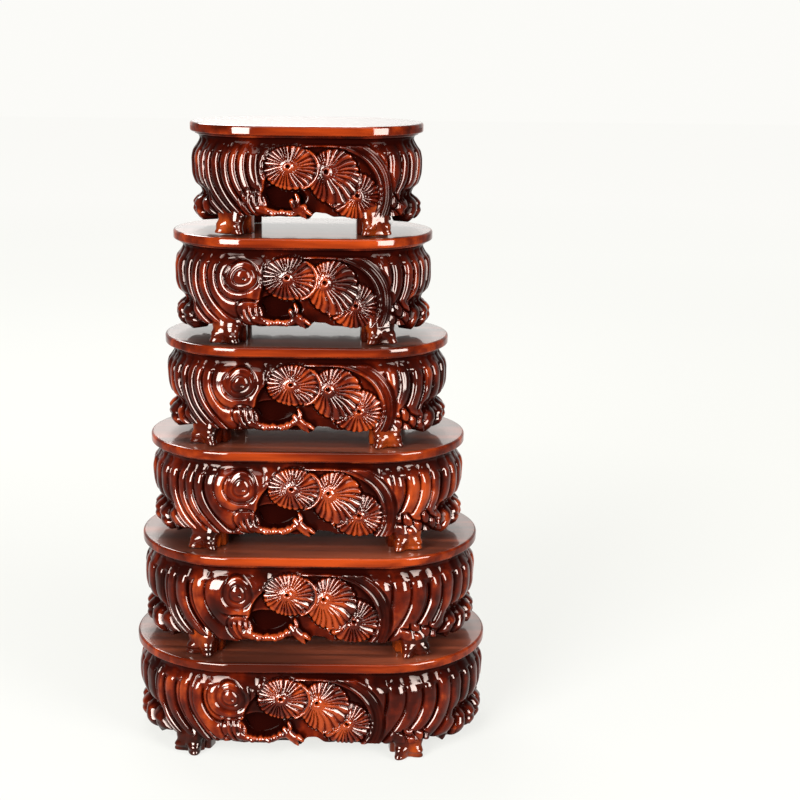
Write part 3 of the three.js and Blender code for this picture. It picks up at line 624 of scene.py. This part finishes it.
def lower_edge(stand, u, sides, split, front):
    """Drawn height of the apron's lower edge: level between the legs and over them, lower and
    scalloped beyond them, and on the front raised in a shallow arch beside the twig."""
    way = stand.quarter - np.abs(np.abs(u) - stand.quarter)
    edges = []
    for side in sides:
        phase = rib_count(stand, side, way)
        groove = 2.0 * np.abs(phase - np.round(phase))
        droop = ease(*DROOP, way - stand.legs[side])
        edges.append(APRON_EDGE - droop * (END_DROOP - SCALLOP * groove ** 2)
                     + 0.4 * np.sin(u / 3.1) * (1.0 - droop))
    edge = np.where(u < split, edges[0], edges[1])
    if front:
        past = u - stand.motif
        edge = (edge - raised(past - TWIG_AT, *TWIG_DIP)
                + ARCH_RISE * ease(*ARCH_START, past) * ease(*ARCH_END, past)
                - raised(past - ROSETTE_AT, *ROSETTE_DIP))
    return edge


def blur(values, cells):
    """Box mean over a square of cells, by differences of running sums along both ways."""
    for axis in (0, 1):
        pad = [(0, 0), (0, 0)]
        pad[axis] = (cells + 1, cells)
        total = np.cumsum(np.pad(values, pad, mode="edge"), axis)
        size = values.shape[axis]
        high = np.take(total, np.arange(size) + 2 * cells + 1, axis)
        low = np.take(total, np.arange(size), axis)
        values = (high - low) / (2 * cells + 1)
    return values


def add(name, data):
    """Object of the scene from its data."""
    made = bpy.data.objects.new(name, data)
    bpy.context.scene.collection.objects.link(made)
    return made


def new_piece(name, points, faces, turn, tones=None):
    """Closed piece from points and faces, with an optional tone of the carving at each point. Its
    faces are turned outwards when its signed volume is negative, and it is shaded smooth but for
    edges sharper than the turn in degrees."""
    mesh = bpy.data.meshes.new(name)
    mesh.from_pydata([tuple(p) for p in points.tolist()], [], faces)
    mesh.update()
    if tones is not None:
        layer = mesh.attributes.new("tone", "FLOAT", "POINT")
        layer.data.foreach_set("value", tones.astype(np.float32))
    mesh.calc_loop_triangles()
    corners = np.empty(len(mesh.loop_triangles) * 3, np.int32)
    mesh.loop_triangles.foreach_get("vertices", corners)
    place = np.empty(len(mesh.vertices) * 3, np.float32)
    mesh.vertices.foreach_get("co", place)
    a, b, c = place.reshape(-1, 3)[corners.reshape(-1, 3)].transpose(1, 0, 2).astype(float)
    if np.einsum("ij,ij->", a, np.cross(b, c)) < 0:
        mesh.flip_normals()
    mesh.shade_smooth()
    mesh.set_sharp_from_angle(angle=math.radians(turn))
    return add(name, mesh)


def grid_faces(rows, columns, wrap=False):
    """Quads between neighbours of a grid of rows by columns, wrapped round if asked."""
    index = np.arange(rows * columns).reshape(rows, columns)
    right = np.roll(index, -1, 1) if wrap else index[:, 1:]
    left = index if wrap else index[:, :-1]
    quads = np.stack([left[:-1], right[:-1], right[1:], left[1:]], -1)
    return quads.reshape(-1, 4).tolist()


def closed_grid(rows, columns):
    """Faces of a closed tube: the wrapped grid and a cap on its first and last ring."""
    last = (rows - 1) * columns
    caps = [list(range(columns))[::-1], list(range(last, last + columns))]
    return grid_faces(rows, columns, wrap=True) + caps


# Tone of the carving: painted light where the face stands out from the mean round it, painted shade
# in the cuts and with depth, light on the rosettes, dark on the stem, and painted shade in the hollow
TONE_MIDDLE = 0.38
TONE_REACH, TONE_RELIEF = 2.4, 3.4
TONE_DEPTH, TONE_LEVEL = 0.045, 2.5
ROSETTE_TONE, STEM_TONE = 0.28, 0.14

# Sharpest turns, in degrees, shaded smooth
CARVED_TURN, BOARD_TURN, LEG_TURN = 60, 35, 50


def carved_wall(stand, name, span, step, sides, split, front=False, turned=False):
    """Closed wall: the carved face as a grid over u and height, closed by a plain inner face,
    upper and lower strips and a flat cap at each end. Its tone adds up the parts named above."""
    start, end = span
    columns = int(round((end - start) / step)) + 1
    rows = int(round((APRON_TOP - APRON_EDGE) / step)) + 1
    u = np.linspace(start, end, columns)[:, None]
    share = np.linspace(0.0, 1.0, rows)[None, :]
    edge = lower_edge(stand, u, sides, split, front)
    t = edge + (APRON_TOP - edge) * share
    u_grid = u + 0 * t
    inset, bloom_and_shade = carve(stand, u_grid, t, sides, split, front)
    outer = stand.place(u_grid, inset, t, turned)
    inner_top = stand.place(u, WALL_INSET + 0 * u, APRON_TOP + 0 * u, turned)
    inner_low = stand.place(u, WALL_INSET + 0 * u, edge, turned)
    ring = np.concatenate([outer, inner_top, inner_low], 1)
    # Painted light and shade: lighter on the crests, darker in the cuts and deeper places, darker still
    # in the hollow
    relief = blur(inset, int(TONE_REACH / step)) - inset
    tone = (TONE_MIDDLE + relief / TONE_RELIEF - TONE_DEPTH * (inset - TONE_LEVEL)
            + ROSETTE_TONE * np.maximum(bloom_and_shade, 0) + STEM_TONE * np.minimum(bloom_and_shade, 0) + stand.shade)
    tones = np.concatenate([tone, np.zeros((columns, 2))], 1)
    return new_piece(name, ring.reshape(-1, 3), closed_grid(columns, rows + 2), CARVED_TURN,
                     tones.ravel())


# Board: its rim's two roundings, the flat ring inside each, the part that counts as rim, and the
# numbers of steps
TOP_ROUND = 1.5
LOW_ROUND = 1.1
BOARD_FLAT = 2.0
RIM_SHARE = 0.9
ROUND_STEPS = 7
BOARD_COLUMNS = 360


def board(stand):
    """Top board: rings round the oval, from the flat underside over the rounded rim to the flat
    top; the rim is two quarter circles."""
    quarter_turn = np.linspace(0, np.pi / 2, ROUND_STEPS)
    low = DRAWN_HEIGHT - BOARD_THICK * DRAWN_HEIGHT / stand.height
    stretch = DRAWN_HEIGHT / stand.height
    inset = np.concatenate([
        [LOW_ROUND + BOARD_FLAT], LOW_ROUND * (1 - np.sin(quarter_turn)),
        TOP_ROUND * (1 - np.cos(quarter_turn)), [TOP_ROUND + BOARD_FLAT]])
    height = np.concatenate([[low], low + stretch * LOW_ROUND * (1 - np.cos(quarter_turn)),
                             DRAWN_HEIGHT - stretch * TOP_ROUND * (1 - np.sin(quarter_turn)),
                             [DRAWN_HEIGHT]])
    u = np.linspace(-stand.quarter, 3 * stand.quarter, BOARD_COLUMNS, endpoint=False)[None, :]
    points = stand.place(u + 0 * inset[:, None], inset[:, None] + 0 * u, height[:, None] + 0 * u)
    rim = np.where((inset < TOP_ROUND * RIM_SHARE)[:, None], 1.0, 0.0) + 0 * u
    return new_piece(f"{stand.name}_board", points.reshape(-1, 3),
                     closed_grid(len(inset), BOARD_COLUMNS), BOARD_TURN, rim.ravel())


# Legs: a root foot in front of a square post. The foot's half width and the inset of its front
# follow the height. Claws: angle from straight ahead, length, and half width as an angle
FOOT_WIDTH = ((0.0, 8.8), (2.6, 9.2), (5.5, 9.6), (8.5, 10.8), (12.0, 12.6), (17.0, 12.4),
              (25.0, 8.0))
FOOT_FRONT = ((0.0, 5.4), (2.6, 4.6), (5.5, 3.2), (8.5, 2.4), (12.0, 2.1), (15.0, 2.7),
              (18.0, 3.8), (22.0, 6.4), (25.0, 9.0))
CLAWS = ((-0.72, 5.6, 0.44), (0.58, 5.6, 0.46))
CLAW_TOP, CLAW_LOW = 12.0, 1.0
CLAW_SPREAD, CLAW_POWER = 0.5, 1.3
CLAW_UNDER = (-0.3, 1.2)
KNUCKLE_Z, KNUCKLE = 6.5, (0.9, 1.6)
DIP_Z, DIP = 3.6, (0.5, 1.0)
FURROW_DEPTH = 1.7
FURROW_FRONT, FURROW_TOP = (-0.3, 0.3), (24.0, 16.0)
FOOT_INSET = 0.3
FOOT_AXIS, FOOT_BACK = 12.0, 17.5
FOOT_TOP = 25.0
FOOT_ROWS, FOOT_COLUMNS = 72, 180
FOOT_POWER = 2.8
POST_WIDTH = 18.0
POST_SHIFT = 4.0
POST_OUTER, POST_INNER = 15.3, 25.3
POST_ROUND = 0.8
POST_SIDES, POST_POWER = 32, 9.0


def rounded(angle, power):
    """Radius of a rounded square at the angle: the powers of its sine and cosine, added, to the
    power of minus one over the power."""
    return (np.abs(np.sin(angle)) ** power + np.abs(np.cos(angle)) ** power) ** (-1 / power)


def foot(stand, u_leg, turned):
    """Points of the root foot: rings of a superellipse round its axis, whose half width and
    front reach follow the height. A claw is a lobe of the angle that reaches out as it goes down,
    with a knuckle at mid height; furrows run between the claws."""
    z = np.linspace(0, FOOT_TOP, FOOT_ROWS)[:, None]
    angle = np.linspace(-np.pi, np.pi, FOOT_COLUMNS, endpoint=False)[None, :]
    squared = rounded(angle, FOOT_POWER)
    across, out = np.sin(angle) * squared, np.cos(angle) * squared
    width, front = through(FOOT_WIDTH, z), through(FOOT_FRONT, z)
    reach = np.where(out > 0, FOOT_AXIS - front, FOOT_BACK - FOOT_AXIS)
    low = ease(CLAW_TOP, CLAW_LOW, z)
    grow = 0 * angle + 0 * z
    crease = 1.0 + grow
    for number, (middle, length, half) in enumerate(CLAWS):
        lean = middle + 0.05 * np.sin(z / 3.0 + number + u_leg)
        lobe = hill(angle - lean, half * (1.0 + CLAW_SPREAD * (1.0 - low)))
        above = z - KNUCKLE_Z - 0.8 * math.sin(number * 2.0 + u_leg)
        knuckle = raised(above, *KNUCKLE) - raised(z - DIP_Z, *DIP)
        tip = (length * low ** CLAW_POWER * ease(*CLAW_UNDER, z)
               * (1.0 + 0.12 * math.sin(u_leg + 2.1 * number)))
        grow = np.maximum(grow, lobe * (tip + knuckle))
        crease = crease * (1.0 - lobe)
    grow = grow - FURROW_DEPTH * crease * ease(*FURROW_FRONT, out) * ease(*FURROW_TOP, z)
    inset = FOOT_AXIS - out * reach - grow * np.cos(angle)
    u = u_leg + across * width + grow * np.sin(angle)
    return stand.place(u, np.maximum(inset, FOOT_INSET), z + 0 * angle, turned)


def post(stand, u_leg, turned):
    """Points of the square post behind the apron: rings of a rounded square, floor to board."""
    height = np.array([0, POST_ROUND / 2, APRON_TOP - POST_ROUND / 2, APRON_TOP])[:, None]
    shrink = np.array([POST_ROUND, 0, 0, POST_ROUND])[:, None] / 2
    angle = (np.arange(POST_SIDES) + 0.5)[None, :] * 2 * np.pi / POST_SIDES
    squared = rounded(angle, POST_POWER)
    middle = u_leg - math.copysign(POST_SHIFT, u_leg)
    u = middle + np.sin(angle) * squared * (POST_WIDTH / 2 - shrink)
    inset = ((POST_OUTER + POST_INNER) / 2
             - np.cos(angle) * squared * ((POST_INNER - POST_OUTER) / 2 - shrink))
    return stand.place(u, inset, height + 0 * angle, turned)


def leg(stand, name, u_leg, turned):
    """Leg piece: foot and post as two closed shells of one mesh."""
    points, faces, offset = [], [], 0
    for shell in (foot(stand, u_leg, turned), post(stand, u_leg, turned)):
        rows, columns = shell.shape[:2]
        faces += [[index + offset for index in face] for face in closed_grid(rows, columns)]
        points.append(shell.reshape(-1, 3))
        offset += rows * columns
    return new_piece(name, np.concatenate(points), faces, LEG_TURN)


def shader(name):
    """New material with its node tree and the shader of its surface."""
    material = bpy.data.materials.new(name)
    material.use_nodes = True
    return material, material.node_tree, material.node_tree.nodes["Principled BSDF"]


def join(made, key, value):
    """Link an input of a node to a socket, or set it to a value."""
    if isinstance(value, bpy.types.NodeSocket):
        made.id_data.links.new(value, made.inputs[key])
    else:
        made.inputs[key].default_value = value


def put(made, **inputs):
    """Join inputs of a node by name, with a low line for each space."""
    for name, value in inputs.items():
        join(made, name.replace("_", " "), value)


def node(tree, kind, **inputs):
    """Node of a kind with its inputs joined by name."""
    made = tree.nodes.new(kind)
    put(made, **inputs)
    return made


def ramp(tree, factor, stops):
    """Colour ramp through (position, colour) stops."""
    made = node(tree, "ShaderNodeValToRGB", Fac=factor)
    elements = made.color_ramp.elements
    while len(elements) < len(stops):
        elements.new(0.5)
    for element, (position, colour) in zip(elements, stops):
        element.position = position
        element.color = (*colour, 1)
    return made.outputs["Color"]


def grain(tree, scale, stretch, detail):
    """Noise on stretched Object coordinates."""
    coords = node(tree, "ShaderNodeTexCoord").outputs["Object"]
    mapping = node(tree, "ShaderNodeMapping", Scale=stretch, Vector=coords)
    return node(tree, "ShaderNodeTexNoise", Scale=scale, Detail=detail, Roughness=0.55,
                Vector=mapping.outputs["Vector"]).outputs["Fac"]


def maths(tree, operation, first, second):
    """Sum, product or like of two values, each a socket or a number."""
    made = tree.nodes.new("ShaderNodeMath")
    made.operation = operation
    join(made, 0, first)
    join(made, 1, second)
    return made.outputs[0]


def centred(tree, noise, amount):
    """The noise less its middle, one half, times the amount."""
    return maths(tree, "MULTIPLY", maths(tree, "SUBTRACT", noise, 0.5), amount)


# Sockets of a mix node for its two colours and their mix
FIRST_COLOUR, SECOND_COLOUR, MIXED_COLOUR = 6, 7, 2


def mix_colours(tree, first, second, factor=1.0, blend="MIX"):
    """Mix of two colours."""
    made = node(tree, "ShaderNodeMix", Factor=factor)
    made.data_type = "RGBA"
    made.blend_type = blend
    join(made, FIRST_COLOUR, first)
    join(made, SECOND_COLOUR, second)
    return made.outputs[MIXED_COLOUR]


def add_bump(tree, surface, height, strength, distance):
    """Fine relief of the surface from a grain."""
    bump = node(tree, "ShaderNodeBump", Strength=strength, Distance=distance, Height=height)
    put(surface, Normal=bump.outputs["Normal"])


# Lacquer: its roughness, how strongly it mirrors, its index of refraction and its warm cast
LACQUER_ROUGH = 0.085
GLOSS_LEVEL = 0.2
LACQUER_IOR = 1.45
LACQUER_TINT = (1.0, 0.82, 0.74, 1.0)


def lacquer(surface, level=GLOSS_LEVEL, ior=LACQUER_IOR, roughness=LACQUER_ROUGH):
    """Clear gloss lacquer over the wood, with a warm cast; its level may follow the tone."""
    put(surface, Roughness=roughness, Specular_IOR_Level=level, IOR=ior,
        Specular_Tint=LACQUER_TINT)


def tone_of(tree):
    """The piece's own tone."""
    tone = tree.nodes.new("ShaderNodeAttribute")
    tone.attribute_name = "tone"
    return tone.outputs["Fac"]


def between(tree, share, at_zero, at_one, low=0.0, high=1.0):
    """Value in proportion to the share: from one number where it is low to another where high."""
    return node(tree, "ShaderNodeMapRange", Value=share, From_Min=low, From_Max=high,
                To_Min=at_zero, To_Max=at_one).outputs["Result"]


# Grains: scale, stretch along the axes, and detail
PATCHES = (52.0, (1, 1, 0.6), 3.0)
FINE_GRAIN = (240.0, (0.35, 1, 1), 5.0)
LONG_GRAIN = (60.0, (0.12, 2.2, 1.6), 6.0)
STREAKS = (20.0, (0.25, 1.2, 0.5), 3.0)
LEG_PATCHES = (55.0, (1, 1, 0.7), 4.0)

# Carved wood: how far the grains shift the tone, the colours by tone, the gloss at a low and a
# high tone and those tones, and its fine relief
PATCH_SHIFT, FINE_SHIFT = 2.2, 0.4
CARVED_COLOURS = ((0.05, (0.0022, 0.0002, 0.0001)), (0.38, (0.0060, 0.0004, 0.0001)),
                  (0.66, (0.0165, 0.0012, 0.0002)), (1.00, (0.052, 0.0068, 0.0010)))
CARVED_GLOSS = (0.01, 0.36, 0.08, 0.80)
CARVED_BUMP = (0.10, 0.0003)

# Board: how its grains add up, its colours, the flat's paler browner cast partly a painted sheen,
# and gloss, roughness and coat on the flat and rim
LONG_SHARE, STREAK_SHARE, SHARE_SHIFT = 1.1, 0.8, 0.38
FLAT_COLOURS = ((0.36, (0.0075, 0.0016, 0.0007)), (0.56, (0.0240, 0.0048, 0.0020)),
                (0.82, (0.066, 0.0140, 0.0058)))
RIM_COLOURS = ((0.36, (0.0070, 0.0006, 0.0001)), (0.56, (0.0200, 0.0017, 0.0002)),
               (0.82, (0.056, 0.0066, 0.0007)))
BOARD_GLOSS = (0.60, 0.16)
BOARD_ROUGH = (0.30, 0.07)
BOARD_COAT = (1.0, 0.0)
COAT_ROUGH, BOARD_IOR = 0.05, 1.5
BOARD_BUMP = (0.05, 0.0002)

# Legs: colours by patch
LEG_COLOURS = ((0.34, (0.0016, 0.0002, 0.0001)), (0.52, (0.0105, 0.0009, 0.0002)),
               (0.74, (0.056, 0.0080, 0.0010)))


def carved_wood():
    """Carved wood: colour from the tone of the carving, painted shade dark in the cuts and painted light
    orange-brown on the crests, broken up by patches and a fine grain, under gloss lacquer whose
    level follows the tone, so it is dull in the deep hollow as painted shade."""
    material, tree, surface = shader("carved_wood")
    tone = tone_of(tree)
    patches = grain(tree, *PATCHES)
    fine = grain(tree, *FINE_GRAIN)
    shade = maths(tree, "ADD", tone, centred(tree, patches, PATCH_SHIFT))
    shade = maths(tree, "ADD", shade, centred(tree, fine, FINE_SHIFT))
    put(surface, Base_Color=ramp(tree, shade, CARVED_COLOURS))
    add_bump(tree, surface, fine, *CARVED_BUMP)
    # The gloss level follows the tone, so its painted shade also dims the reflections in the cuts and
    # the hollow
    lacquer(surface, between(tree, tone, *CARVED_GLOSS))
    return material


def board_wood():
    """Board: straight grain along the board in red-brown, redder round the rim, paler and browner on the
    flat, where that cast is partly a painted sheen, under gloss lacquer with a second clear coat on
    the flat."""
    material, tree, surface = shader("board_wood")
    long_grain = grain(tree, *LONG_GRAIN)
    streaks = grain(tree, *STREAKS)
    long_shade = maths(tree, "MULTIPLY", long_grain, LONG_SHARE)
    shade = maths(tree, "ADD", long_shade, maths(tree, "MULTIPLY", streaks, STREAK_SHARE))
    shade = maths(tree, "SUBTRACT", shade, SHARE_SHIFT)
    tone = tone_of(tree)
    # The flat's colours are grain with a paler, browner cast that partly paints a sheen
    flat, rim = ramp(tree, shade, FLAT_COLOURS), ramp(tree, shade, RIM_COLOURS)
    add_bump(tree, surface, long_grain, *BOARD_BUMP)
    lacquer(surface, between(tree, tone, *BOARD_GLOSS), BOARD_IOR, between(tree, tone, *BOARD_ROUGH))
    put(surface, Base_Color=mix_colours(tree, flat, rim, tone), Coat_Roughness=COAT_ROUGH,
        Coat_Weight=between(tree, tone, *BOARD_COAT), Coat_IOR=BOARD_IOR)
    return material


def leg_wood():
    """Legs: the same lacquered wood, without the carving's tone."""
    material, tree, surface = shader("leg_wood")
    put(surface, Base_Color=ramp(tree, grain(tree, *LEG_PATCHES), LEG_COLOURS))
    lacquer(surface)
    return material


def camera():
    """Camera in front of the object, pitched down and rolled a little."""
    data = bpy.data.cameras.new("camera")
    data.lens = CAMERA_LENS
    data.sensor_width = SENSOR_WIDTH
    data.sensor_fit = "HORIZONTAL"
    data.clip_end = CAMERA_CLIP
    cam = add("camera", data)
    pitch, roll = math.radians(CAMERA_PITCH), math.radians(CAMERA_ROLL)
    forward = Vector((0, math.cos(pitch), -math.sin(pitch)))
    right = Vector((1, 0, 0))
    up = right.cross(forward)
    across = right * math.cos(roll) + up * math.sin(roll)
    upward = up * math.cos(roll) - right * math.sin(roll)
    matrix = cam.matrix_world.copy()
    for row in range(3):
        matrix[row][0:4] = (across[row], upward[row], -forward[row], CAMERA_PLACE[row])
    cam.matrix_world = matrix
    bpy.context.scene.camera = cam


def softbox(name, place, target, size, power):
    """Soft rectangular light that faces its target."""
    data = bpy.data.lights.new(name, "AREA")
    data.shape = "RECTANGLE"
    data.size, data.size_y = size
    data.energy = power
    lamp = add(name, data)
    lamp.location = place
    lamp.rotation_euler = (Vector(target) - Vector(place)).to_track_quat("-Z", "Y").to_euler()


# Floor: its colour by the way in front of the object, darker in front as painted shade, its painted
# glow by the way from the middle, and the painted shade outside the lit part
FLOOR_HALF = 6.0
FLOOR_ROUGH = 0.9
FLOOR_COLOURS = ((0.12, (0.032, 0.032, 0.031)), (0.60, (0.012, 0.012, 0.0115)))
FLOOR_GLOW = ((0.02, (0.74, 0.74, 0.71)), (0.07, (0.78, 0.78, 0.745)),
              (0.133, (0.84, 0.84, 0.80)), (0.27, (0.88, 0.88, 0.845)),
              (0.37, (0.92, 0.92, 0.885)), (0.52, (0.945, 0.94, 0.91)))
FLOOR_SHADE = ((0.12, (1, 1, 1)), (0.60, (0.40, 0.40, 0.40)))
LIT_WIDE, LIT_SPREAD = 0.35, 0.27


def pale_floor():
    """Floor sheet: matt near-white. It glows behind and beside the object, a painted light in place of a
    lit studio sheet, in a part that widens away from the camera; the glow is lower near the middle,
    and it is dimmer in front and at the sides, as painted shade."""
    material, tree, surface = shader("pale_floor")
    coords = node(tree, "ShaderNodeTexCoord").outputs["Object"]
    split = node(tree, "ShaderNodeSeparateXYZ", Vector=coords)
    ahead = maths(tree, "MULTIPLY", split.outputs["Y"], -1.0)
    widening = maths(tree, "MULTIPLY", split.outputs["Y"], LIT_SPREAD)
    beside = maths(tree, "ABSOLUTE", split.outputs["X"], 0.0)
    aside = maths(tree, "SUBTRACT", beside, widening)
    past_side = maths(tree, "SUBTRACT", aside, LIT_WIDE)
    outside = maths(tree, "MAXIMUM", ahead, past_side)
    length = node(tree, "ShaderNodeVectorMath", Vector=coords)
    length.operation = "LENGTH"
    share = maths(tree, "DIVIDE", length.outputs["Value"], FLOOR_HALF)
    # Painted light and shade on the floor: the glow, and the dimming in front and at the sides
    glow, dim = ramp(tree, share, FLOOR_GLOW), ramp(tree, outside, FLOOR_SHADE)
    put(surface, Base_Color=ramp(tree, ahead, FLOOR_COLOURS), Roughness=FLOOR_ROUGH,
        Specular_IOR_Level=0.0, Emission_Strength=1.0,
        Emission_Color=mix_colours(tree, glow, dim, blend="MULTIPLY"))
    return material


# Surround: brightness by how far a direction points away from the camera
SURROUND = ((0.0, (0.24, 0.24, 0.235)), (0.50, (0.32, 0.32, 0.31)), (0.86, (0.97, 0.965, 0.935)))


def studio():
    """Wide pale floor, and a surround that is pale behind the object and grey at the sides,
    overhead and on the camera's side."""
    half = FLOOR_HALF
    corners = [(-half, -half, 0), (half, -half, 0), (half, half, 0), (-half, half, 0)]
    mesh = bpy.data.meshes.new("floor")
    mesh.from_pydata(corners, [], [(0, 1, 2, 3)])
    mesh.materials.append(pale_floor())
    sheet = add("floor", mesh)
    surround = bpy.data.worlds.new("studio")
    surround.use_nodes = True
    tree = surround.node_tree
    coords = node(tree, "ShaderNodeTexCoord").outputs["Generated"]
    split = node(tree, "ShaderNodeSeparateXYZ", Vector=coords)
    put(tree.nodes["Background"], Color=ramp(tree, split.outputs["Y"], SURROUND), Strength=1.0)
    bpy.context.scene.world = surround


# Spacing of the points on the front and on the plainer walls
FRONT_STEP = 0.42
PLAIN_STEP = 0.6


def dress(piece, stand, part, woods, slot):
    """Wood, body, slot and replaced part of a finished piece."""
    piece.data.materials.append(woods[slot])
    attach(piece, stand.name)
    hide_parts(f"{stand.name}_{part}")


def build_stand(stand, woods):
    """All the pieces of one stand."""
    dress(board(stand), stand, "top_board", woods, "board_wood")
    seam, gap, middle = stand.seam, SEAM_GAP / 2, stand.quarter
    side_span, end_span = (-(seam - gap), seam - gap), (seam + gap, 2 * middle - seam - gap)
    walls = (("front", side_span, FRONT_STEP, ("left", "right"), 0.0, False),
             ("back", side_span, PLAIN_STEP, ("back", "back"), 0.0, True),
             ("right_end", end_span, PLAIN_STEP, ("right", "back"), middle, False),
             ("left_end", end_span, PLAIN_STEP, ("back", "left"), middle, True))
    for name, span, step, sides, split, turned in walls:
        wall = carved_wall(stand, f"{stand.name}_carved_{name}", span, step, sides, split,
                           name == "front", turned)
        dress(wall, stand, f"{name}_apron", woods, "carved_wood")
    legs = (("front_left", -stand.legs["left"], False), ("front_right", stand.legs["right"], False),
            ("back_left", stand.legs["back"], True), ("back_right", -stand.legs["back"], True))
    for corner, u_leg, turned in legs:
        piece = leg(stand, f"{stand.name}_{corner}_foot", u_leg, turned)
        dress(piece, stand, f"{corner}_leg", woods, "leg_wood")


# Lamps: name, place and target in metres, width and height in metres, and power in watts
SOFTBOXES = (
    ("left_softbox", (-0.68, -1.22, 0.60), (0, 0, 0.42), (0.70, 1.06), 235),
    ("right_softbox", (1.05, -0.92, 0.53), (0, 0, 0.36), (0.60, 0.96), 135),
    ("top_softbox", (0.2, -0.7, 1.6), (0, 0, 0.2), (1.2, 0.5), 24),
    ("back_softbox", (-0.45, 1.15, 1.40), (0, 0, 0.25), (1.1, 0.6), 80),
)

camera()
studio()
for lamp in SOFTBOXES:
    softbox(*lamp)
bpy.context.scene.view_settings.view_transform = "Standard"

woods = {"board_wood": board_wood(), "carved_wood": carved_wood(), "leg_wood": leg_wood()}
for index in range(TIERS):
    build_stand(Stand(index), woods)
